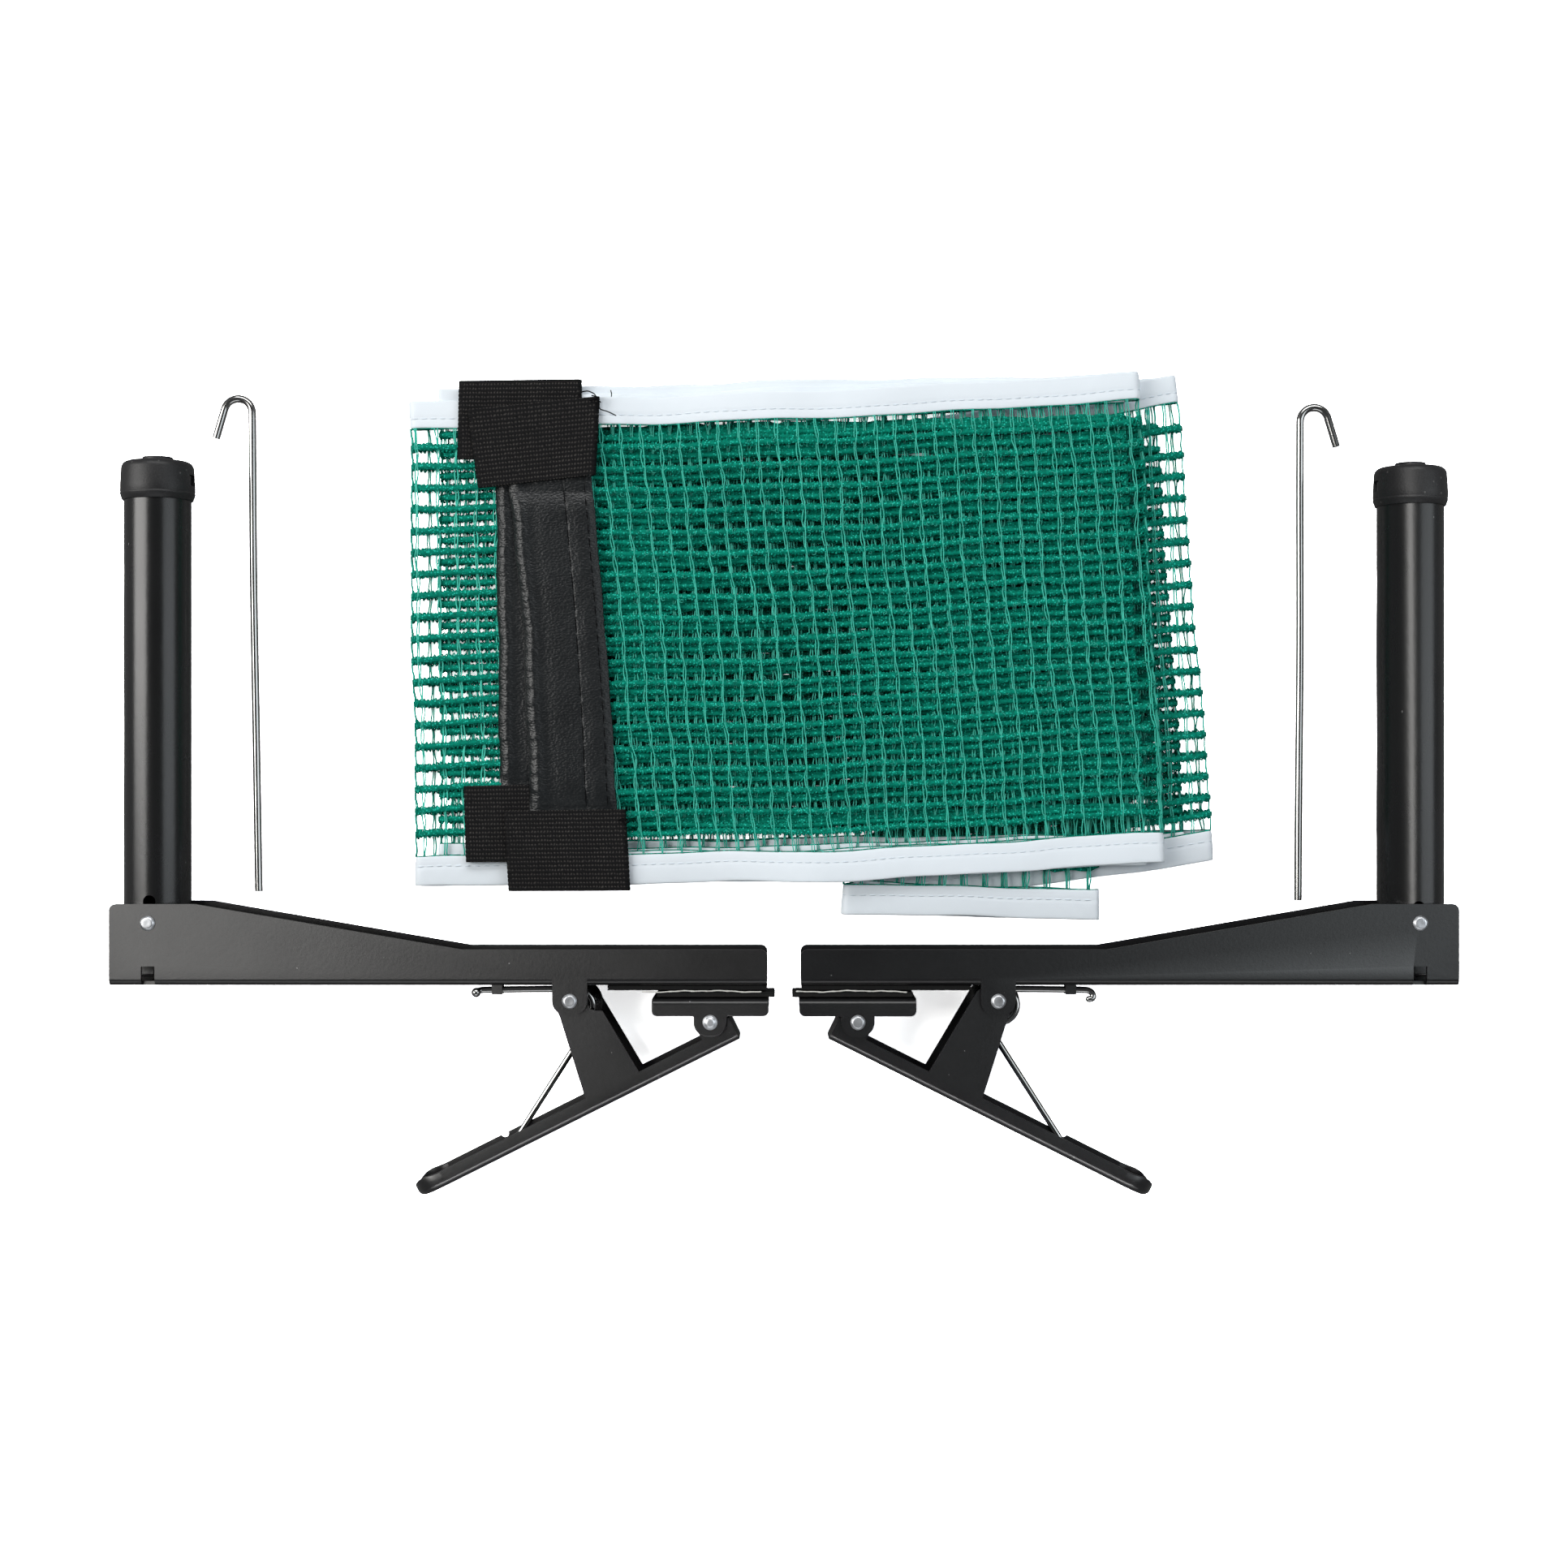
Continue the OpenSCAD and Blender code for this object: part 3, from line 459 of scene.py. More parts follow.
def joined(parts):
    # several (points, faces) put into one pair
    shift, points, faces = 0, [], []
    for somePoints, someFaces in parts:
        points.append(somePoints)
        faces.append(someFaces + shift)
        shift += len(somePoints)
    return np.concatenate(points), np.concatenate(faces)


upright = np.array([0.0, 0.0, 1.0])
spindle = np.array([-0.5, -0.3, 0.0, 0.3, 0.5])      # places along a stitch, in shares of its length


def unit(vectors):
    # each vector divided by its length
    return vectors / np.maximum(np.linalg.norm(vectors, axis=-1, keepdims=True), 1e-9)


def sweptStrands(path, radius, sides, upward):
    # circles of the given radius carried along many paths at once, square to each path
    # path is strands x samples x 3; each end closes with one face when there are four sides
    along = unit(np.gradient(path, axis=1))
    side = unit(np.cross(along, upward))
    over = np.cross(side, along)
    turn = 2 * pi * (np.arange(sides) + 0.5) / sides
    ring = np.cos(turn)[:, None] * side[:, :, None] + np.sin(turn)[:, None] * over[:, :, None]
    points = path[:, :, None] + np.asarray(radius)[..., None, None] * ring
    count, samples = path.shape[:2]
    tube = gridFaces(samples, sides, wrapColumns=True)
    faces = [((np.arange(count) * samples * sides)[:, None, None] + tube[None]).reshape(-1, 4)]
    if sides == 4:
        first = (np.arange(count) * samples * 4)[:, None] + np.array([3, 2, 1, 0])
        last = first[:, ::-1] + (samples - 1) * 4
        faces += [first, last]
    return points.reshape(-1, 3), np.concatenate(faces)


def roundEnds(path, radius, steps=4):
    # the path and radii of a wire whose two ends are half balls
    swell = np.linspace(0, pi / 2, steps + 1)[1:]
    head, tail = unit(path[0] - path[1]), unit(path[-1] - path[-2])
    radius = np.broadcast_to(radius, len(path))
    before = path[0] + head * (radius[0] * np.sin(swell))[::-1, None]
    after = path[-1] + tail * (radius[-1] * np.sin(swell))[:, None]
    radii = np.concatenate([radius[0] * np.cos(swell)[::-1], radius, radius[-1] * np.cos(swell)])
    return np.concatenate([before, path, after]), np.maximum(radii, 1e-4)


def wireMesh(name, path, radius, sides):
    # one wire along a path that lies flat or nearly so
    path, radii = roundEnds(path, radius)
    mesh = makeMesh(name, *sweptStrands(path[None], radii[None], sides, upright))
    weld(mesh)
    return mesh


def latheMesh(name, profile, centre, axis, sides):
    # an outline of radius and height turned about an axis through centre
    turn = np.linspace(0, 2 * pi, sides, endpoint=False)
    radius, height = profile[:, 0, None], profile[:, 1, None]
    ring = np.stack([radius * np.cos(turn), radius * np.sin(turn), height + 0 * turn], -1)
    if axis == "y":
        ring = ring[..., [0, 2, 1]] * (1, 1, -1)
    points = ring.reshape(-1, 3) + np.array(centre)
    mesh = makeMesh(name, points, gridFaces(len(profile), sides, wrapColumns=True))
    weld(mesh)
    return mesh


def arc(centre, radius, start, end, steps):
    # points of a circular arc, angles in degrees
    turn = np.radians(np.linspace(start, end, steps + 1))
    return np.array(centre) + radius * np.stack([np.cos(turn), np.sin(turn)], -1)


def ripples(position, lengths, sizes, rows=1):
    # smooth noise: a sum of sine waves of the given lengths and sizes, shifted at random per row
    shifts = draw.uniform(0, 2 * pi, (rows, len(lengths)))
    waves = np.sin(2 * pi * position[None, :, None] / np.array(lengths) + shifts[:, None])
    return (waves * np.array(sizes)).sum(-1)


def nodeBox(node):
    # lowest and highest corner of a node's solid in mm
    low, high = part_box(node)
    return np.array(low) / mm, np.array(high) / mm


# net: two plies of one long net, folded to and fro over each other

# y of the brackets' undersides; sizes of the net and places of loose pieces count from there
bracketHeight = 24.7
underside = nodeBox("bracket_left")[1][1] - bracketHeight

# mm: height and tapes, widths of the first and the other runs' cords, pitch of the columns and how far
# the last one stays from a fold, sizes of strands and threads, and columns' slant in each run
netSettings = {
    "height": 151.5, "topHem": 8.5, "bottomHem": 9.3, "rows": 21, "rowWidths": (2.45, 3.0),
    "columnPitch": 6.1, "lastColumn": 3.1, "stitch": 1.05, "strandRadius": 0.33,
    "threadRadii": (0.20, 0.27),
    "hemThick": 0.8, "hemCorner": 0.38, "hemStitch": (2.9, 1.9), "edgeCord": 0.25,
    "shears": {"front": (-0.030, 0.02, 0.0, 0.0, 0.0), "back": (0.0, 0.01, 0.0, 0.0, 0.0)},
    "fibres": 1100,
}

# fold lines: x and y of the foot, and lean from +Y in degrees
foldLines = {
    "sewn": (-51.1, 30.2, 3.9), "crease": (12.8, 30.9, 3.3), "topRight": (117.4, 36.8, 3.0),
    "backSewn": (-63.5, 30.6, 0.6), "backCrease": (14.5, 31.3, 1.9), "backTopRight": (112.0, 36.4, 2.8),
    "left": (-114.5, 28.9, 0.8), "leftInner": (-107.2, 32.8, 0.1),
    "lowRight": (134.0, 37.2, 4.6), "lowRightInner": (125.5, 36.9, 3.9),
    "tailLeft": (17.7, 21.0, -5.3), "tailLeftInner": (21.0, 21.4, -5.0), "tailEnd": (97.5, 18.8, -2.1),
}


def foldLine(first, second=None, x=0.0):
    # a fold line, or the line between two of them whose foot is at x
    a, b = np.array(foldLines[first]), np.array(foldLines[second or first])
    return a + (b - a) * (x - a[0]) / (b[0] - a[0]) if second else a


# each run as fold lines, each with the ply's level there; between two named lines, at the given x
sagHigh, sagLow = 15.0, -34.0      # the upper runs come down between these two x
frontPly = [
    [("sewn", 6.7), ("sewn", "crease", sagLow, 6.7), ("crease", 11.4), ("topRight", 11.4)],
    [("topRight", 8.0), ("topRight", "leftInner", sagHigh, 8.0), ("topRight", "leftInner", sagLow, 3.1),
     ("leftInner", 3.1)],
    [("leftInner", 1.85), ("lowRightInner", 1.85)],
    [("lowRightInner", 3.05), ("tailLeft", 3.05)],
    [("tailLeft", 6.6), ("tailEnd", 6.6)],
]
backPly = [
    [("backSewn", 5.5), ("backSewn", "backCrease", sagLow, 5.5), ("backCrease", 10.2),
     ("backTopRight", 10.2)],
    [("backTopRight", 9.1), ("backTopRight", "left", sagHigh, 9.1), ("backTopRight", "left", sagLow, 4.3),
     ("left", 4.3)],
    [("left", 0.75), ("lowRight", 0.75)],
    [("lowRight", 4.15), ("tailLeftInner", 4.15)],
    [("tailLeftInner", 5.5), ("tailEnd", 5.5)],
]


def plyRoute(runs, slips, spacing=1.5, foldSteps=4):
    # the ply as a table along its length: foot x and y, their change per mm of height, and z
    # runs are joined by half circles that turn back at each fold line
    foot, lean, height, starts = [], [], [], []
    for k, run in enumerate(runs):
        lines = np.array([foldLine(*marks) for *marks, _ in run])
        levels = np.array([level for *_, level in run])
        reach = np.concatenate([[0], np.cumsum(np.abs(np.diff(lines[:, 0])))])
        before = runs[k - 1][-1][-1] if k > 0 else levels[0]
        after = runs[k + 1][0][-1] if k + 1 < len(runs) else levels[-1]
        turnIn, turnOut = abs(levels[0] - before) / 2, abs(after - levels[-1]) / 2
        flat = np.linspace(turnIn, reach[-1] - turnOut, int(reach[-1] / spacing))
        part = np.searchsorted(reach, flat, side="right").clip(1, len(reach) - 1)
        share = (flat - reach[part - 1]) / (reach[part] - reach[part - 1])
        ease = share * share * (3 - 2 * share)
        z = levels[part - 1] + (levels[part] - levels[part - 1]) * ease
        swing = np.linspace(0, pi / 2, foldSteps + 1)
        if k > 0:
            sign = np.sign(before - levels[0])
            inward = swing[::-1][:-1]
            flat = np.concatenate([turnIn - turnIn * np.sin(inward), flat])
            z = np.concatenate([levels[0] + sign * turnIn * (1 - np.cos(inward)), z])
        if k + 1 < len(runs):
            sign = np.sign(after - levels[-1])
            outward = swing[1:-1]
            flat = np.concatenate([flat, reach[-1] - turnOut + turnOut * np.sin(outward)])
            z = np.concatenate([z, levels[-1] + sign * turnOut * (1 - np.cos(outward))])
        starts.append(sum(len(z) for z in height))
        x, y, turn = (np.interp(flat, reach, column) for column in lines.T)
        foot.append(np.stack([x, y], -1))
        lean.append(turn)
        height.append(z)
    foot, lean, height = np.concatenate(foot), np.radians(np.concatenate(lean)), np.concatenate(height)
    half = 75                                # lengths are measured half way up the net
    middle = np.stack([foot[:, 0] - half * np.sin(lean), foot[:, 1] + half * np.cos(lean), height], -1)
    length = np.concatenate([[0], np.cumsum(np.linalg.norm(np.diff(middle, axis=0), axis=1))])
    cuts = [length[i] for i in starts] + [length[-1]]
    table = np.stack([foot[:, 0], foot[:, 1], -np.sin(lean), np.cos(lean), height], -1)
    return {"length": length, "table": table, "cuts": cuts, "slips": slips,
            "shifts": (draw.uniform(0, 2 * pi, 6), draw.uniform(0, 2 * pi, 6))}


# slight waves of a ply up the net, along it and out of its face: size, and mm per radian along the
# length and up the height
plyWaves = {
    "up": ((0.28, 9.5, 31), (0.20, 17.0, -19), (0.10, 4.1, 11)),
    "along": ((0.30, 40, 14.0), (0.15, np.inf, 6.5)),
    "out": ((0.20, 13.0, 23), (0.14, 7.3, -15)),
}


def plyWave(kind, shifts, s, h):
    # a sum of sine waves that run aslant over the ply, each with its own shift
    return sum(size * np.sin(s / long + h / high + shift)
               for (size, long, high), shift in zip(plyWaves[kind], shifts))


def onPly(route, s, h):
    # the point of the ply at length s and height h
    x, y, dx, dy, z = (np.interp(s, route["length"], column) for column in route["table"].T)
    first, second = route["shifts"]
    slide, wave = plyWave("along", first[3:], s, h), plyWave("up", first, s, h)
    return np.stack(np.broadcast_arrays(x + h * dx + slide, y + h * dy + wave + underside,
                                        z + plyWave("out", second, s, h)), -1)


def plyFrame(route, s, h):
    # the point, and the directions up the net and out of its face
    ahead = onPly(route, s + 0.3, h) - onPly(route, s - 0.3, h)
    above = onPly(route, s, h + 0.5) - onPly(route, s, h - 0.5)
    return onPly(route, s, h), unit(above), unit(np.cross(ahead, above))


rowHeights = np.linspace(netSettings["bottomHem"], netSettings["height"] - netSettings["topHem"],
                         netSettings["rows"])
rowPitch = rowHeights[1] - rowHeights[0]

# how far the rows of each ply ride up, in mm, at its start, at its four folds and at its end,
# which keeps the rows of one run between those of another; less so next to the hems
rowSlips = {"front": [-0.7, -0.7, 1.8, 0.0, -0.7, 2.4], "back": [2.7, 2.7, 1.4, -2.9, -2.1, 2.7]}

# stretches of each run that lie open, in mm from its start, and its mm per sample there
openParts = {
    "front": [([(0, 999)], 0.2625), ([(168, 999)], 0.40), ([(0, 50), (214, 999)], 0.45),
              ([(0, 14)], 0.45), ([(0, 999)], 0.75)],
    "back": [([(0, 999)], 0.42), ([(164, 999)], 0.40), ([(0, 58), (222, 999)], 0.42),
             ([(0, 25)], 0.45), ([], 1)],
}


def rowsAt(route, rows, s):
    # heights of the given rows at length s
    slip = np.interp(s, route["cuts"], route["slips"])
    fade = np.clip(np.minimum(rows, len(rowHeights) - 1 - rows) / 2.0, 0, 1)
    return rowHeights[rows][:, None] + fade[:, None] * slip


def cordSamples(start, end, parts, step, coarse=2.6):
    # places along a run: close together where it lies open, and far apart where it is covered
    marks = np.arange(start, end, coarse)
    for low, high in parts:
        low, high = start + low, min(start + high, end)
        marks = np.concatenate([marks[(marks < low) | (marks > high)], np.arange(low, high, step)])
    return np.unique(np.concatenate([[start, end], marks]))


def rowCords(route, start, end, parts, step, rows, width):
    # chain-stitched cords: two strands that swing to either side and cross once a stitch,
    # over a straight filling strand; where a run is covered they lie side by side
    radius, stitch = netSettings["strandRadius"], max(netSettings["stitch"], step * 3)
    swing = width / 2 - radius
    s = cordSamples(start, end, parts, step)
    gap = np.gradient(s)
    covered = np.clip(gap - 1.0, 0, 1)
    h = rowsAt(route, rows, s[None]) + ripples(s, [23, 9.1], [0.16, 0.10], len(rows))
    centre, across, out = plyFrame(route, s[None], h)
    phase = pi * s[None] / stitch + draw.uniform(0, pi, (len(rows), 1))
    ragged = 1 + ripples(s, [3.7, 1.9, 5.3], [0.13, 0.13, 0.10], len(rows))
    knob = 1 + 0.30 * sum(np.exp(-((s - cut) / 0.8) ** 2) for cut in route["cuts"][1:-1])
    strands = []
    for sign in (1, -1):
        wave = np.sin(phase) * (1 - covered) + 1.10 * covered
        lifted = (sign * 0.18 * np.cos(phase) + 0.16 * np.sin(2 * phase) ** 2) * (1 - covered)
        path = centre + across * (sign * swing * wave * ragged)[..., None] + out * lifted[..., None]
        girth = radius * (0.80 + 0.42 * np.abs(np.sin(phase))) * (1 - covered) + 0.95 * covered
        strands.append(sweptStrands(path, girth * knob, 4, out))
    core = cordSamples(start, end, parts, 1.7)
    core = core[::2] if len(core) > 60 else core
    core[-1] = end
    centre, _, out = plyFrame(route, core[None], rowsAt(route, rows, core[None]))
    strands.append(sweptStrands(centre - out * 0.12, np.full(centre.shape[:2], 0.37 * width), 4, out))
    return strands


def edgeCords(route):
    # a thin cord along the inner edge of each hem
    s = route["length"][None]
    h = rowHeights[[0, -1]][:, None] + np.array([0.12, -0.12])[:, None] + 0 * s
    centre, _, out = plyFrame(route, s, h)
    return sweptStrands(centre, np.full(h.shape, netSettings["edgeCord"]), 4, out)


def columnThreads(route, start, end, shear, seen, fold, radius):
    # pairs of filaments that part between two rows and close up where they pass a row;
    # a pair lies on each fold
    last = end - netSettings["lastColumn"]
    count = int(round((last - start) / netSettings["columnPitch"]))
    feet = np.linspace(start, last, count + 1)
    feet = feet + draw.normal(0, 0.22, len(feet)) * (feet > start + 8) * (feet < end - 8)
    h = np.linspace(rowHeights[0], rowHeights[-1], (len(rowHeights) - 1) * (4 if seen else 2) + 1)
    parts = []
    slip = float(np.interp((start + end) / 2, route["cuts"], route["slips"]))
    beat = pi * (h - rowHeights[0] - slip) / rowPitch
    wander = ripples(h, [27, 13, 7.1], [0.15, 0.11, 0.07], len(feet))
    for sign in (1, -1):
        spread = sign * (0.22 * np.abs(np.sin(beat)) + 0.16)
        split = 1 + ripples(h, [19, 8.3], [0.45, 0.35], len(feet))
        s = feet[:, None] + shear * (h - h.mean())[None] + spread[None] * split + wander
        s = np.clip(s, route["length"][0] + 0.2, route["length"][-1] - 0.2)
        centre, _, out = plyFrame(route, s, h[None] + 0 * s)
        over = 0.42 * fold * np.cos(beat) ** 2 + 0.1 * sign
        path = centre + out * over[None, :, None]
        parts.append(sweptStrands(path, np.full(path.shape[:2], radius), 4, out))
    return parts


def fibres(route, start, end, count):
    # loose curls of yarn standing off the cords
    rows = draw.integers(1, len(rowHeights) - 1, count)
    s = draw.uniform(start + 2, end - 2, count)
    turn = np.linspace(0, 1, 6)[None] * draw.uniform(1.5, 4.5, (count, 1))
    turn = turn + draw.uniform(0, 2 * pi, (count, 1))
    size = draw.uniform(0.25, 0.75, (count, 1))
    row = rowHeights[rows] + np.interp(s, route["cuts"], route["slips"]) + draw.normal(0, 0.55, count)
    centre, _, out = plyFrame(route, s[:, None] + size * np.cos(turn), row[:, None] + size * np.sin(turn))
    rise = 0.45 + 0.35 * np.sin(np.linspace(0, pi, 6))[None] * draw.uniform(0.3, 1.3, (count, 1))
    path = centre + out * rise[..., None]
    girth = np.broadcast_to(np.array([0.05, 0.085, 0.09, 0.09, 0.085, 0.05]), path.shape[:2])
    return sweptStrands(path, girth, 4, out)


def hemBand(route, low, high, inner, thick):
    # a flat tube with rounded edges along an edge of the ply, with a groove where it is sewn
    corner, width = netSettings["hemCorner"], high - low
    groove = (low + width * 0.34) if inner == "low" else (high - width * 0.34)
    flat = np.linspace(low + corner, high - corner, 13)
    dip = 0.16 * np.exp(-((flat - groove) / 0.55) ** 2)
    puff = 0.16 * np.sin(pi * (flat - low) / width)
    top = np.stack([flat, thick / 2 + puff - dip], -1)
    bend = np.linspace(pi / 2, -pi / 2, 7)[1:-1]
    rightEdge = np.stack([high - corner + corner * np.cos(bend), thick / 2 * np.sin(bend)], -1)
    bottom = np.stack([flat, -thick / 2 - puff + dip], -1)[::-1]
    bend = bend[::-1]
    leftEdge = np.stack([low + corner - corner * np.cos(bend), thick / 2 * np.sin(bend)], -1)
    section = np.concatenate([top, rightEdge, bottom, leftEdge])
    s = route["length"][:, None]
    pucker = 1 + 0.10 * np.sin(2 * pi * s / 5.6) * np.cos(section[None, :, 0])
    centre, _, out = plyFrame(route, s, section[None, :, 0])
    points = centre + out * (section[None, :, 1] * pucker)[..., None]
    return points.reshape(-1, 3), tubeFaces(*points.shape[:2]), groove


def hemStitches(route, groove, thick):
    # short spindles of thread lying in the hem's groove on both faces
    every, length = netSettings["hemStitch"]
    s = np.arange(route["length"][0] + 2, route["length"][-1] - 2, every)
    steps = spindle * length
    girth = np.array([0.05, 0.17, 0.20, 0.17, 0.05])
    parts = []
    for face in (1, -1):
        centre, _, out = plyFrame(route, s[:, None] + steps, groove + 0 * steps)
        path = centre + out * (face * (thick / 2 + 0.02 + 0.06 * np.cos(steps * 1.2)))[None, :, None]
        parts.append(sweptStrands(path, np.broadcast_to(girth, path.shape[:2]), 4, out))
    return joined(parts)


def makeHems(plyName, route):
    # both tapes of a ply, each with its stitches
    settings = netSettings
    top = settings["height"] - settings["topHem"]
    edges = {"bottom": (0.0, settings["bottomHem"], "high"), "top": (top, settings["height"], "low")}
    for edge, (low, high, inner) in edges.items():
        name = f"{plyName}_{edge}"
        points, faces, groove = hemBand(route, low, high, inner, settings["hemThick"])
        hem = addPiece(f"{name}_hem", closedMesh(f"{name}_hem", points, faces), "tapeWhite", "net",
                       [f"net_{edge}_tape"], sharp=None)
        seam = closedMesh(f"{name}_stitches", *hemStitches(route, groove, settings["hemThick"]))
        stitches = addPiece(f"{name}_stitches", seam, "tapeStitch", "net", sharp=None)


def makeRun(plyName, route, k, side):
    # one run between two folds: its rows, its columns, and the loose ends and edge cords of the first
    settings = netSettings
    first = k == 0
    start, end = route["cuts"][k], route["cuts"][k + 1]
    parts, step = openParts[plyName][k]
    width, radius = settings["rowWidths"][min(k, 1)], settings["threadRadii"][min(k, 1)]
    inner = np.arange(1, settings["rows"] - 1)
    for group, rows in enumerate(np.array_split(inner, 2) if first else [inner]):
        name = f"{plyName}_run{k + 1}_rows" + ("_upper" if group else "")
        cords = closedMesh(name, *joined(rowCords(route, start, end, parts, step, rows, width)))
        piece = addPiece(name, cords, "netYarn", "net", ["net_mesh"], sharp=None)
        if group:
            name, look = f"{plyName}_edge_cords", "netYarn"
            strands = [edgeCords(route)]
        else:
            name, look = f"{plyName}_run{k + 1}_columns", "netThread"
            seen = len(parts) > 0 and k < 3
            strands = columnThreads(route, start, end, settings["shears"][plyName][k], seen, side, radius)
            if first and plyName == "front":
                strands.append(fibres(route, start, end, settings["fibres"]))
        threads = addPiece(name, closedMesh(name, *joined(strands)), look, "net", sharp=None)


def makeNet():
    for plyName, runs, side in (("front", frontPly, 1.0), ("back", backPly, -1.0)):
        route = plyRoute(runs, rowSlips[plyName])
        makeHems(plyName, route)
        for k in range(len(runs)):
            makeRun(plyName, route, k, side)
        print(plyName, "ply:", round(route["length"][-1]), "mm long")


makeNet()


# black end sleeves: flattened leatherette tubes with a rounded fold and two seams

sleeveSettings = {
    # right and left edges as (x, y) from the bottom up, level of the underside, thickness, node, and
    # the heights between which it lies outside the loops
    "front": {"right": [(-50.9, 46.0), (-52.2, 53.0), (-53.0, 76.4), (-56.0, 114.2), (-59.6, 156.0),
                        (-60.3, 162.5)],
              "left": [(-78.4, 46.0), (-78.8, 53.0), (-79.7, 76.4), (-81.3, 114.2), (-85.6, 155.0),
                       (-86.8, 162.5)],
              "low": 7.3, "thick": 2.5, "node": "sleeve_front", "open": (54.0, 151.5)},
    "back": {"right": [(-62.9, 52.0), (-63.6, 61.0), (-63.9, 100.0), (-64.2, 140.0), (-64.6, 170.0)],
             "left": [(-88.3, 52.0), (-88.4, 61.0), (-88.9, 100.0), (-89.3, 130.0), (-90.2, 170.0)],
             "low": 4.9, "thick": 2.3, "node": "sleeve_back", "open": (62.0, 161.0)},
}
# share of the width from the fold, mm from stitch to stitch, length of a stitch, depth of the groove
sleeveSeams = {"main": (0.655, 6.7, 5.6, 0.08), "edge": (0.905, 4.2, 3.0, 0.06)}
# share of the width in the round fold; shares of the thickness that the flat face has, that the far
# edge lacks, and that stay inside the loops
sleeveShape = {"fold": 0.12, "flat": 0.82, "thinning": 0.42, "tucked": 0.58}


def smoothCurve(points, y):
    # x of an edge at height y: straight pieces through the points, rounded off by a running mean
    points = np.array(points)
    blur = np.linspace(-9, 9, 13)
    return np.interp(np.asarray(y)[..., None] + blur, points[:, 1], points[:, 0]).mean(-1)


def sleeveHeight(w, y, thick):
    # how high the upper face stands at share w from the fold: a round fold, a flat face with
    # two seams pressed into it, and a thin edge beyond the second seam
    shape, edgeSeam = sleeveShape, sleeveSeams["edge"][0]
    bend = shape["fold"]
    fold = np.sqrt(np.clip(1 - ((w - bend) / bend) ** 2, 0, 1)) * (w < bend) + (w >= bend)
    slack = shape["flat"] - 0.05 * np.exp(-((w - 0.26) / 0.08) ** 2) + 0.01 * np.sin(w * 7 + y / 21)
    ridge = 0.18 * np.exp(-((w - 0.11) / 0.06) ** 2)
    panel = 0.05 * np.exp(-((w - 0.78) / 0.07) ** 2) * (1 + 0.7 * np.sin(y / 3.3) * np.sin(y / 17 + 1))
    height = fold * (slack + ridge) + panel
    for seam, every, _, deep in sleeveSeams.values():
        pull = 0.55 + 0.45 * np.cos(pi * y / every) ** 12
        height = height - deep * pull * np.exp(-((w - seam) / 0.015) ** 2)
    edge = np.clip((w - edgeSeam) / (1 - edgeSeam), 0, 1)
    return thick * (height * (1 - shape["thinning"] * edge))


def makeSleeve(name, settings):
    # upper and under face between the two edges, closed at the ends; stitches lie along the seams
    thick, low = settings["thick"], settings["low"]
    bottom, top = settings["right"][0][1], settings["right"][-1][1]
    y = np.linspace(bottom, top, 200)[:, None]
    turned = sleeveShape["fold"] * (1 - np.cos(np.linspace(0, pi / 2, 12)))
    w = np.concatenate([turned, np.linspace(0.125, 1, 72)[1:]])[None]
    right, left = (smoothCurve(settings[edge], y[:, 0])[:, None] for edge in ("right", "left"))
    left = left + ripples(y[:, 0], [41, 17, 6.3], [0.22, 0.12, 0.05])[0][:, None]
    right = right + ripples(y[:, 0], [23, 3.1, 1.3], [0.10, 0.06, 0.05])[0][:, None]
    x = left + (right - left) * w
    crinkle = ripples(y[:, 0], [5.3, 2.7], [0.05, 0.035])[0][:, None] * np.exp(-((w - 0.07) / 0.05) ** 2)
    first, last = settings["open"]
    tuck = np.clip(np.minimum(y - first, last - y) / 7.0, 0.0, 1)       # flattened inside the loops
    tucked = sleeveShape["tucked"]
    lift = (sleeveHeight(w, y, thick) + crinkle * thick) * (tucked + (1 - tucked) * tuck * (2 - tuck))
    slant = (right - left) * 0.04 * w * tuck
    upper = np.stack([x, y + slant + underside, low + np.maximum(lift, 0.30)], -1)
    under = upper.copy()
    under[..., 2] = low - 0.02 * w
    under[:, 0, 2] = low + 0.15
    ring = np.concatenate([upper, under[:, ::-1]], 1)
    shell = closedMesh(f"{name}_sleeve", ring.reshape(-1, 3), tubeFaces(*ring.shape[:2]))
    piece = addPiece(f"{name}_sleeve", shell, "leatherette", "net", [settings["node"]],
                     sharp=None)
    stitches = []
    for seam, every, length, _ in sleeveSeams.values():
        at = np.arange(bottom + 7, top - 7, every)[:, None] + spindle * length + every / 2
        seamX = smoothCurve(settings["left"], at) * (1 - seam) + smoothCurve(settings["right"], at) * seam
        height = low + sleeveHeight(seam + 0 * at, at, thick) + 0.02
        path = np.stack([seamX, at + underside + 1.0 * seam, height], -1)
        girth = np.broadcast_to(np.array([0.04, 0.15, 0.17, 0.15, 0.04]), path.shape[:2])
        stitches.append(sweptStrands(path, girth, 4, upright))
    seams = addPiece(f"{name}_sleeve_seams", closedMesh(f"{name}_sleeve_seams", *joined(stitches)),
                     "blackThread", "net", sharp=None)


for sleeveName, sleeve in sleeveSettings.items():
    makeSleeve(sleeveName, sleeve)
print("sleeves")


# elastic loops: flattened rings of ribbed band with open ends

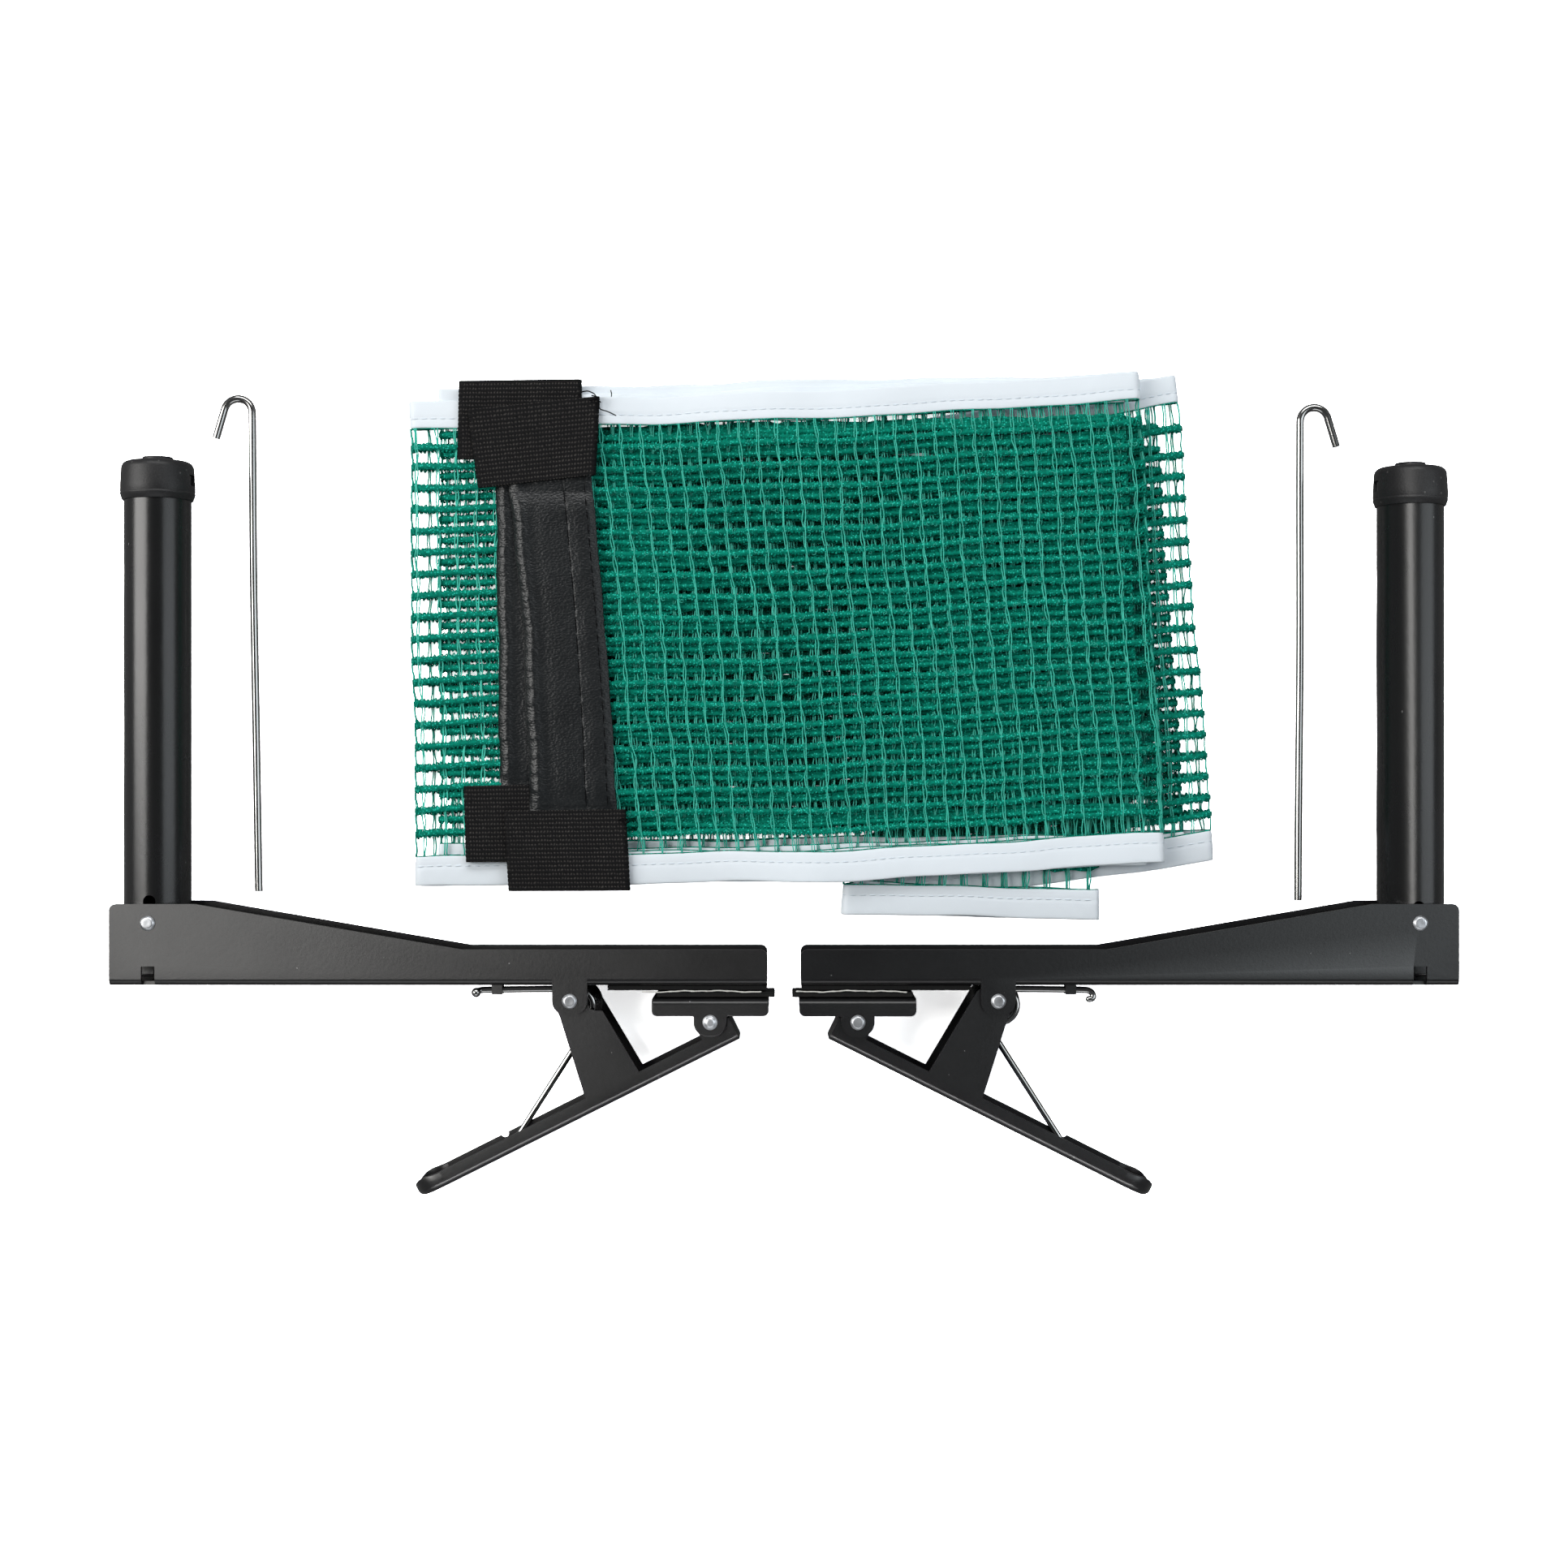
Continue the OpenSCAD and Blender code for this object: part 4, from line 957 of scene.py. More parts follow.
loopSettings = {
    # corners as (x, y) from the lower left anticlockwise, level of the underside, and rib count
    "front_top": {"low": 7.25, "ribs": 18,
                  "corners": [(-93.7, 152.9), (-59.4, 156.7), (-58.2, 181.0), (-96.9, 177.1)]},
    "front_bottom": {"low": 7.25, "ribs": 19,
                     "corners": [(-84.2, 27.9), (-48.7, 28.1), (-50.1, 53.3), (-85.7, 52.8)]},
    "back_top": {"low": 4.85, "ribs": 19,
                 "corners": [(-100.4, 162.1), (-64.2, 162.0), (-63.9, 186.8), (-99.9, 186.3)]},
    "back_bottom": {"low": 4.85, "ribs": 18,
                    "corners": [(-97.7, 36.8), (-61.4, 37.0), (-62.0, 61.2), (-98.4, 60.5)]},
}
bandSettings = {"thick": 2.5, "wall": 0.55, "rib": 0.16, "perRib": 8, "around": 88}
# dark ground and pale knit stitches, mm from stitch to stitch, and scales of the two noises
bandLook = {"ground": (0.0048, 0.0048, 0.0053), "knit": (0.055, 0.051, 0.048), "knitPitch": 0.95,
            "wander": 900, "patches": 160, "gloss": 0.10, "roughness": 0.7,
            "grain": (1900.0, 3400.0, 0.5, 0.9, 0.15)}


def makeLoop(name, settings):
    # an outer and an inner shell, each a flattened ring carried up between the corners
    band = bandSettings
    half = band["thick"] / 2
    corners = np.array(settings["corners"], float)
    flat = np.linspace(0, 1, band["around"] // 2 - 8)
    turn = np.linspace(0, pi, 10)[1:-1]
    ring = np.concatenate([
        np.stack([flat, np.ones_like(flat), np.zeros_like(flat)], -1),
        np.stack([np.ones_like(turn), np.cos(turn), np.sin(turn)], -1),
        np.stack([flat[::-1], -np.ones_like(flat), np.zeros_like(flat)], -1),
        np.stack([np.zeros_like(turn), -np.cos(turn), -np.sin(turn)], -1)])
    share, up, outward = ring.T
    v = np.linspace(0, 1, settings["ribs"] * band["perRib"] + 1)[:, None]
    rib = band["rib"] * np.sqrt(np.abs(np.sin(pi * v * settings["ribs"])))
    rib = rib * (1 + 0.12 * np.sin(share * 60 + 9 * v))
    slack = 0.05 * np.sin(share * 7 + v * 3 + corners[0, 0]) + 0.04 * np.sin(share * 17 - v * 5)

    def shell(inset, relief, rows, wave):
        across = share[None] + 0 * rows
        lower = corners[0] + (corners[1] - corners[0]) * across[..., None]
        upper = corners[3] + (corners[2] - corners[3]) * across[..., None]
        place = lower + (upper - lower) * rows[..., None]
        side = unit(corners[1] - corners[0])
        grow = half - inset + relief
        place = place + side * (outward * grow - inset * outward)[..., None] * 0.9
        level = settings["low"] + half + up * (grow + wave * (half - 0.1) * (up > 0))
        return np.concatenate([place, level[..., None]], -1)

    sag = 1 - 0.22 * np.abs(2 * v - 1) ** 6
    outer = shell(0.0, (rib - 0.1) * sag, v, slack)
    inside = np.linspace(1, 0, 14)[:, None]
    inner = shell(band["wall"], 0 * inside, inside, 0 * inside)
    points = np.concatenate([outer, inner])
    points[..., 1] += underside
    rows, columns = points.shape[:2]
    mesh = closedMesh(f"loop_{name}_band", points.reshape(-1, 3),
                      gridFaces(rows, columns, wrapRows=True, wrapColumns=True))
    bandUv = mesh.uv_layers.new(name="ribs")
    vertexUv = np.zeros((rows, columns, 2))
    width = np.linalg.norm(corners[1] - corners[0])
    vertexUv[..., 0] = (share * width)[None]
    vertexUv[:len(v), :, 1] = v * settings["ribs"]
    vertexUv = vertexUv.reshape(-1, 2)
    corner = np.zeros(len(mesh.loops), np.int32)
    mesh.loops.foreach_get("vertex_index", corner)
    bandUv.data.foreach_set("uv", vertexUv[corner].astype(np.float32).ravel())
    piece = addPiece(f"loop_{name}_band", mesh, "elasticRibs", "net", [f"loop_{name}"],
                     sharp=None)


def makeElasticFinish(look):
    # black band: rows of pale knit stitches between the ribs, from the band's own rib map
    material = bpy.data.materials.new("elasticRibs")
    material.use_nodes = True
    tree, nodes = material.node_tree, material.node_tree.nodes
    surface = nodes["Principled BSDF"]
    surface.inputs["Specular IOR Level"].default_value = look["gloss"]
    surface.inputs["Roughness"].default_value = look["roughness"]
    ribs = newNode(nodes, "UVMap", uv_map="ribs")
    split = newNode(nodes, "SeparateXYZ")
    connect(tree, (ribs.outputs[0], split.inputs[0]))

    def maths(operation, *values):
        node = newNode(nodes, "Math", operation=operation)
        for socket, value in zip(node.inputs, values):
            if isinstance(value, (int, float)):
                socket.default_value = value
            else:
                connect(tree, (value, socket))
        return node.outputs[0]

    place = newNode(nodes, "TexCoord").outputs["Object"]
    wander = newNode(nodes, "TexNoise", {"Scale": look["wander"]})
    patchy = newNode(nodes, "TexNoise", {"Scale": look["patches"]})
    connect(tree, (place, wander.inputs["Vector"]), (place, patchy.inputs["Vector"]))
    wave = maths("MULTIPLY", maths("SUBTRACT", wander.outputs["Fac"], 0.5), 0.5)
    row = maths("ADD", split.outputs["Y"], wave)
    valley = maths("POWER", maths("ABSOLUTE", maths("COSINE", maths("MULTIPLY", row, pi))), 5.0)
    knit = maths("SINE", maths("ADD", maths("MULTIPLY", split.outputs["X"], 2 * pi / look["knitPitch"]),
                               maths("MULTIPLY", wander.outputs["Fac"], 7.0)))
    dots = maths("MULTIPLY", maths("MAXIMUM", maths("ADD", maths("MULTIPLY", knit, 0.6), 0.45), 0.0), valley)
    dots = maths("MULTIPLY", dots, maths("ADD", patchy.outputs["Fac"], 0.35))
    shade = newNode(nodes, "Mix", {6: (*look["ground"], 1), 7: (*look["knit"], 1)}, data_type="RGBA")
    connect(tree, (dots, shade.inputs[0]), (shade.outputs[2], surface.inputs["Base Color"]))
    grainBump(material, place, *look["grain"])
    return material


looks["elasticRibs"] = makeElasticFinish(bandLook)
for loopName, loop in loopSettings.items():
    makeLoop(loopName, loop)

looseThreads = [
    # loose ends of sewing thread at the loops' corners: points in mm, y from the brackets' underside
    [(-62.8, 182.3, 9.9), (-60.6, 182.6, 10.6), (-58.4, 181.6, 10.9), (-57.6, 179.6, 10.6),
     (-57.0, 176.9, 10.5), (-54.6, 176.2, 10.9), (-51.8, 174.8, 11.3)],
    [(-59.5, 181.2, 9.9), (-57.9, 180.9, 10.5), (-57.0, 178.6, 10.8), (-57.4, 176.6, 10.4)],
    [(-60.1, 179.6, 10.0), (-58.0, 180.1, 10.6), (-56.6, 179.0, 10.5)],
    [(-53.6, 182.9, 9.6), (-53.3, 181.7, 9.9), (-53.4, 180.9, 9.6)],
    [(-51.3, 49.6, 10.2), (-50.0, 50.5, 10.7), (-48.6, 50.3, 10.9), (-48.0, 49.3, 10.6), (-49.2, 48.6, 10.3)],
]


def threadMesh(name, routes, radius):
    # round threads through the given points, with their corners blurred
    parts = []
    for route in routes:
        route = np.array(route, float) + (0, underside, 0)
        knots = np.concatenate([[0], np.cumsum(np.linalg.norm(np.diff(route, axis=0), axis=1))])
        s = np.linspace(0, knots[-1], 26)
        path = np.stack([np.interp(s, knots, column) for column in route.T], -1)
        blur = np.array([0.25, 0.5, 0.25])
        for column in range(3):
            path[1:-1, column] = np.convolve(path[:, column], blur, "valid")
        parts.append(sweptStrands(path[None], np.full((1, len(s)), radius), 4, np.array([0.1, 0.2, 1.0])))
    return closedMesh(name, *joined(parts))


addPiece("loose_threads", threadMesh("loose_threads", looseThreads, 0.20), "blackThread", "net",
         sharp=None)
print("loops")


# sheet steel: the folded parts get softened edges

steelSettings = {"edge": 0.42, "flatAngle": 0.8, "edgeAngle": 32, "segments": 3}


def softenedSteel(node, holes=()):
    # the folded sheet with flat faces made whole, cut where needed, and its edges rounded
    settings = steelSettings
    mesh = frame["nodes"][node].data.copy()
    work = bmesh.new()
    work.from_mesh(mesh)
    bmesh.ops.remove_doubles(work, verts=work.verts, dist=0.005 * mm)
    bmesh.ops.dissolve_limit(work, angle_limit=radians(settings["flatAngle"]), verts=work.verts,
                             edges=work.edges, delimit=set())
    work.to_mesh(mesh)
    work.free()
    piece = addPiece(f"{node}_sheet", mesh, "powderCoat", frame["nodes"][node]["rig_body"],
                     [node], sharp=settings["edgeAngle"])
    for hole in holes:
        cutAway(piece, *hole)
    bevel = piece.modifiers.new("edges", "BEVEL")
    bevel.width = settings["edge"] * mm
    bevel.segments = settings["segments"]
    bevel.limit_method = "ANGLE"
    bevel.angle_limit = radians(settings["edgeAngle"])
    bevel.miter_outer = "MITER_ARC"
    bevel.harden_normals = True


def cutAway(piece, points, faces):
    # takes a closed shape out of a finished piece
    cutter = newObject("cutter", closedMesh("cutter", points, faces))
    hole = piece.modifiers.new("hole", "BOOLEAN")
    hole.object = cutter
    hole.solver = "EXACT"
    evaluated = piece.evaluated_get(bpy.context.evaluated_depsgraph_get())
    mesh = bpy.data.meshes.new_from_object(evaluated)
    piece.modifiers.clear()
    old, piece.data = piece.data, mesh
    mesh.name = old.name
    bpy.data.meshes.remove(old)
    bpy.data.objects.remove(cutter)
    mesh.shade_smooth()
    mesh.set_sharp_from_angle(angle=radians(40))


def prism(outline, low, high, axis=2):
    # an outline pulled from low to high along an axis
    layers = [np.insert(outline, axis, level, axis=1) for level in (low, high)]
    return np.concatenate(layers), tubeFaces(2, len(outline))


def mirrorSign(side):
    # pieces are drawn for the left and mirrored for the right
    return -1 if side == "right" else 1


def pivotAt(side):
    # x of the rivet on which a lever turns
    low, high = nodeBox(f"lever_rivet_{side}")
    return (low[0] + high[0]) / 2


# what lever and spring share: the pivot under the bracket, the arm under the pivot, and its angle
leverSettings = {"pivotDrop": 4.8, "armDrop": 33.5, "angle": 26.6, "sheet": 1.2}
tipSettings = {"cut": 9.5, "corner": 8.0, "halfWidth": 10.0, "bend": 2.0, "handle": 68.6, "lip": 0.25,
               "rim": ((0.0, 3.9), (1.0, 4.65), (2.5, 5.25), (4.6, 5.35), (7.5, 5.0), (9.5, 4.9))}


def tipShell():
    # the handle's end: floor and wall turn round the corners, and the rim swells a little there
    # rows of points round the end, each with the outer face, the lip and the inner face
    settings, sheet = tipSettings, leverSettings["sheet"]
    r, half, bend, lip = settings["corner"], settings["halfWidth"], settings["bend"], settings["lip"]
    corner = arc((r, half - r), r, 90, 180, 14)
    straight = [[settings["cut"] + steelSettings["edge"], half], [r + 0.7, half]]
    out = np.concatenate([straight, corner, [[0.0, 0.7]]])
    around = np.concatenate([out, out[::-1] * (1, -1)])
    normal = np.zeros_like(around)
    normal[:, 0] = -np.clip(1 - around[:, 0] / r, 0, 1)
    normal[:, 1] = np.sign(around[:, 1]) * np.clip((np.abs(around[:, 1]) - (half - r)) / r, 0, 1)
    normal /= np.linalg.norm(normal, axis=1, keepdims=True)
    rim = np.interp(around[:, 0], *np.array(settings["rim"]).T)
    turn = np.radians(np.linspace(0, 90, 7))
    within = bend - sheet
    outer = [(-6.0, 0), *zip(bend * (np.sin(turn) - 1), bend * (1 - np.cos(turn))), (0, 3.0)]
    inner = [(-6.0, sheet), *zip(-bend + within * np.sin(turn), sheet + within * (1 - np.cos(turn))),
             (-sheet, 3.0)]
    outerLip = [(0, -lip), (-0.08, -0.08), (-lip, 0)]
    innerLip = [(-sheet, -lip), (-sheet + 0.08, -0.08), (-sheet + lip, 0)]
    spine = np.stack([np.maximum(around[:, 0], r), np.zeros(len(around))], -1)
    faces = []
    for low, high, level in ((outer, outerLip, 0.0), (inner, innerLip, sheet)):
        face = [np.concatenate([spine, np.full((len(around), 1), level)], 1)]
        face += [np.concatenate([around + normal * offset, np.full((len(around), 1), n)], 1)
                 for offset, n in low]
        face += [np.concatenate([around + normal * offset, (rim + n)[:, None]], 1) for offset, n in high]
        faces.append(face)
    return np.stack(faces[0] + faces[1][::-1], 1)


def makeLever(side):
    # the folded sheet with its handle's end cut square, and the rounded end in its place
    settings, lever, sign, pivotX = tipSettings, leverSettings, mirrorSign(side), pivotAt(side)
    points = tipShell()
    u, z, n = points[..., 0].ravel() - settings["handle"], points[..., 1].ravel(), points[..., 2].ravel()
    c, d = np.cos(radians(lever["angle"])), np.sin(radians(lever["angle"]))
    low, high = nodeBox(f"lever_{side}")
    middle = (low[2] + high[2]) / 2

    def placed(u, n, z):
        return np.stack(np.broadcast_arrays(pivotX + sign * (u * c - n * d),
                                            underside - lever["pivotDrop"] + u * d + n * c, middle + z), -1)

    cut = settings["cut"] - settings["handle"]
    corners = np.array([(-75, -36), (cut, -36), (cut, -24), (-75, -24)])
    holes = [prism(placed(corners[:, 0], corners[:, 1], 0)[:, :2], middle - 12, middle + 12)]
    if side == "left":
        # the near wall is cut back beside the pivot, where the coil shows
        gap = np.array([(13, -3.0), (13, 6.5), (5.4, 6.5), (5.4, -1.0), (6.0, -2.4), (7.2, -3.0)])
        wall = middle + settings["halfWidth"]
        holes.append(prism(gap + (pivotX, underside - lever["pivotDrop"]), wall - 1.6, wall + 2))
    softenedSteel(f"lever_{side}", holes)
    mesh = closedMesh(f"lever_tip_{side}", placed(u, n - lever["armDrop"], z), tubeFaces(*points.shape[:2]))
    weld(mesh)
    addPiece(f"lever_{side}_tip", mesh, "powderCoat", f"lever_{side}", [f"lever_{side}"],
             sharp=50)


# mm; travel is how far the post slides along its rivet
postSettings = {"diameter": 20.2, "wall": 1.2, "rim": 0.3, "slotWidth": 3.8, "travel": 8.0,
                "sides": 128, "dent": 0.13}


def makePost(side):
    # a tube wall turned about the post's axis, a little dented on one side, with a slot cut through it
    settings = postSettings
    low, high = nodeBox(f"post_tube_{side}")
    outer, rim = settings["diameter"] / 2, settings["rim"]
    inner, length = outer - settings["wall"], high[1] - low[1]
    steps = np.linspace(rim, length - rim, 60)
    profile = np.concatenate([[[inner, 0.0], [outer - rim, 0.0]],
                              np.stack([np.full_like(steps, outer), steps], -1),
                              [[outer - rim, length], [inner, length]],
                              np.stack([np.full(8, inner), np.linspace(length, 0, 8)], -1)[1:-1]])
    turn = np.linspace(0, 2 * pi, settings["sides"], endpoint=False)
    radius, height = profile[:, :1], profile[:, 1:]
    dented = (height > 40) & (height < 120) & (radius > inner + 0.1)
    dents = settings["dent"] * np.exp(-((turn - pi) / 0.35) ** 2) * np.sin(height / 8.7)
    radius = radius - dents * dented
    centre = (low + high) / 2
    points = np.stack([radius * np.cos(turn) + centre[0], low[1] + height + 0 * turn,
                       radius * np.sin(turn) + centre[2]], -1).reshape(-1, 3)
    faces = gridFaces(len(profile), len(turn), wrapRows=True, wrapColumns=True)
    piece = addPiece(f"post_tube_{side}_wall", closedMesh(f"post_{side}", points, faces), "tubeCoat",
                     f"post_{side}", [f"post_tube_{side}"])
    half = settings["slotWidth"] / 2
    middle = sum(nodeBox(f"post_rivet_{side}")) / 2
    lift = low[1] - underside - 1.3              # how far the post is drawn up here
    bottom, top = middle[1] - settings["travel"] + lift, middle[1] + lift
    outline = np.concatenate([arc((middle[0], top), half, 0, 180, 12),
                              arc((middle[0], bottom), half, 180, 360, 12)])
    cutAway(piece, *prism(outline, low[2] - 1, high[2] + 1))


capSettings = {"radius": 11.3, "crown": 10.95, "shoulder": 2.3, "height": 12.0, "bossRadius": 4.6,
               "bossHeight": 1.4, "bore": 10.2, "seat": 9.7, "slotHeight": 3.4, "slotDrop": 4.2}


def makeCap(side):
    # turned outline: bore, skirt with a parting groove, shoulder and boss; the hook's notch is cut out
    settings = capSettings
    low, high = nodeBox(f"post_cap_{side}")
    centre = (low + high) / 2
    r, shoulder, top = settings["radius"], settings["shoulder"], settings["height"]
    boss, crown, bore, seat = (settings[key] for key in ("bossRadius", "crown", "bore", "seat"))
    skirt = [(-0.05, 1.75), (0, 1.95), (-0.03, 2.12), (-0.14, 2.3), (-0.12, 2.5), (-0.03, 2.8), (-0.06, 5.0)]
    bossTop = top + settings["bossHeight"]
    profile = np.concatenate([
        [[0.0, seat], [bore, seat], [bore, 0.0], [10.5, 0.0], [10.68, 0.12]],
        [[r + step, height] for step, height in skirt],
        arc((crown - shoulder, top - shoulder), shoulder, 4, 80, 10),
        [[boss + 1.4, top], [boss + 0.25, top - 0.05], [boss + 0.05, top + 0.08]],
        arc((boss - 0.25, bossTop - 0.25), 0.25, 0, 90, 4),
        [[boss - 1.0, bossTop - 0.02], [boss - 2.0, bossTop - 0.08], [0.0, bossTop - 0.12]]])
    mesh = latheMesh(f"cap_{side}", profile, (centre[0], low[1], centre[2]), "y", 96)
    piece = addPiece(f"post_cap_{side}_moulding", mesh, "capRubber", f"post_{side}",
                     [f"post_cap_{side}"])
    sign = mirrorSign(side)
    bottom = low[1] + top - settings["slotDrop"] - settings["slotHeight"]
    near, far, ceiling = centre[0] + sign * 9.6, centre[0] + sign * 13.6, bottom + settings["slotHeight"]
    outline = np.array([(near, bottom), (far, bottom), (far, ceiling), (near, ceiling)])
    cutAway(piece, *prism(outline, centre[2] - 3, centre[2] + 3))


rivetSettings = {"shank": 1.8, "collar": 2.3, "face": 1.75, "headHeight": 1.0}


def makeRivet(node, body, domed=False):
    # shank with two peened heads: a flat face inside a bevelled collar, or a dome with a ring
    settings = rivetSettings
    shankRadius, height = settings["shank"], settings["headHeight"]
    collar, face = settings["collar"], settings["face"]
    low, high = nodeBox(node)
    centre = (low + high) / 2
    if domed:
        head = [[collar, 0.22], [collar - 0.12, 0.34], [face + 0.12, 0.36], [face - 0.02, 0.42],
                [face - 0.2, 0.72], [face - 0.6, 0.9], [face - 1.1, 0.98], [0.35, 1.0], [0.0, 0.97]]
    else:
        head = [[collar, 0.2], [collar - 0.1, 0.34], [face + 0.25, 0.55], [face, 0.86], [face - 0.16, 0.94],
                [face - 0.5, 0.97], [face - 1.1, 0.95], [0.0, 0.93]]
    head = np.array(head) * (1, height)
    bottom, top = low[2], high[2]
    lower = np.stack([head[:, 0], bottom + height - head[:, 1]], -1)[::-1]
    upper = np.stack([head[:, 0], top - height + head[:, 1]], -1)
    shank = [[collar, bottom + height], [shankRadius, bottom + height], [shankRadius, top - height],
             [collar, top - height]]
    profile = np.concatenate([lower, shank, upper])
    mesh = latheMesh(f"{node}_body", profile, (centre[0], centre[1], 0), "z", 48)
    addPiece(f"{node}_peened", mesh, "rivetZinc", body, [node])


# rubber pads: thin strips cut by hand, with ragged ends

padSettings = {
    # body, mm by which it reaches past the solid at either end, and how ragged the ends are
    "bracket_pad_left": {"body": "clamp_left", "reach": (0.0, 0.0), "ragged": 0.7},
    "bracket_pad_right": {"body": "clamp_right", "reach": (0.0, 3.6), "ragged": 1.3},
    "jaw_pad_left": {"body": "jaw_left", "reach": (0.0, 0.0), "ragged": 0.5},
    "jaw_pad_right": {"body": "jaw_right", "reach": (0.3, 0.6), "ragged": 0.6},
}


def makePad(node, settings):
    # a rounded box section carried along x; its ends fray in x and its height wavers
    low, high = nodeBox(node)
    middle = (low + high) / 2
    start, end = low[0] - settings["reach"][0], high[0] + settings["reach"][1]
    corner, steps = 0.25, 120
    halfY, halfZ = (high[1] - low[1]) / 2 - 0.04, (high[2] - low[2]) / 2
    yCorners = np.array([1, -1, -1, 1]) * (halfY - corner)
    zCorners = np.array([1, 1, -1, -1]) * (halfZ - corner)
    bends = [arc((y, z), corner, angle, angle - 90, 3)
             for y, z, angle in zip(yCorners, zCorners, (90, 0, -90, -180))]
    section = np.concatenate([np.concatenate([bend, np.linspace(bend[-1], after[0], 8)[1:-1]])
                              for bend, after in zip(bends, bends[1:] + bends[:1])])
    y, z = section.T
    u = np.linspace(0, 1, steps)[:, None]
    frayStart = settings["ragged"] * ripples(z * 1.3 + y, [3.3, 1.7, 0.9], [0.5, 0.35, 0.2])[0]
    frayEnd = settings["ragged"] * ripples(z * 1.3 - y, [2.9, 1.5, 0.8], [0.5, 0.35, 0.2])[0]
    cutStart, cutEnd = np.abs(frayStart) * 0.7, np.abs(frayEnd) * 0.7
    x = start + cutStart + u * (end - start - cutStart - cutEnd)
    waver = ripples(u[:, 0] * (end - start), [11, 4.7, 2.1], [0.5, 0.4, 0.25])[0]
    thin = 1 - 0.10 * np.abs(waver)[:, None]
    points = np.stack(np.broadcast_arrays(x, middle[1] + y * thin, middle[2] + z), -1)
    mesh = closedMesh(f"{node}_strip", points.reshape(-1, 3), tubeFaces(*points.shape[:2]))
    addPiece(f"{node}_strip", mesh, "padRubber", settings["body"], [node], sharp=45)


glueReach = {"left": (-4.6, -4.0), "right": (0.8, -1.2)}      # mm from the ends of the jaw's pad


def makeGlueLine(side):
    # a thin line of dried glue along the edge of the pad under the bracket, a wavy wire of varying girth
    low, high = nodeBox(f"jaw_pad_{side}")
    padLow = nodeBox(f"bracket_pad_{side}")[0]
    first, last = glueReach[side]
    x = np.linspace(low[0] + first, high[0] + last, 120)
    y = padLow[1] + 0.05 + ripples(x, [31, 13, 5], [0.16, 0.10, 0.05])[0]
    z = np.full_like(x, high[2] + 0.02) + ripples(x, [9, 4], [0.05, 0.04])[0]
    path = np.stack([x, y, z], -1)
    radius = 0.20 + 0.07 * np.abs(ripples(x, [7, 3.1, 1.7], [0.5, 0.4, 0.3])[0])
    radius[[0, -1]] = 0.02
    mesh = closedMesh(f"glue_{side}", *sweptStrands(path[None], radius[None], 6, upright))
    weld(mesh)
    addPiece(f"pad_glue_{side}", mesh, "padGlue", f"clamp_{side}", sharp=None)


# lever springs: the coil stays with the bracket, and the lower leg is a piece on no body

# mm and degrees; aside and below place the coil's axis from the pivot, clear is the leg's gap to the lever
springSettings = {"wire": 1.0, "coilRadius": 6.2, "topRadius": 5.1, "turns": 5, "pitch": 2.58,
                  "upperLeg": 28.6, "sag": 0.35, "legAngle": 57.5, "clear": 0.3, "below": 1.7,
                  "aside": {"left": 1.6, "right": -1.0}, "hook": 1.6, "curl": 1.35, "foot": 1.9, "ball": 1.45}


def springHook(side, end):
    # the upper leg's end, from its tip on: bent up on end at the left, curled down and back at the right
    up, curl = springSettings["hook"], springSettings["curl"]
    if side == "left":
        bend = np.linspace(0, pi / 2, 7)
        hook = end + np.stack([-up * np.sin(bend), 0 * bend, up * (1 - np.cos(bend))], -1)[::-1]
        hook[:, 1] -= np.linspace(0.5, 0, len(hook))
        return hook[0] + np.array([[0, -0.1, 1.0], [0, 0, 0.5]]), hook
    bend = np.linspace(0, 0.9 * pi, 14)
    turned = np.stack([-curl * np.sin(bend) - 0.5 * bend, -curl * (1 - np.cos(bend)), 0.25 * bend], -1)
    hook = end + turned[::-1]
    return hook[0] + np.array([[0.9, -0.1, 0.1], [0.45, -0.05, 0.05]]), hook


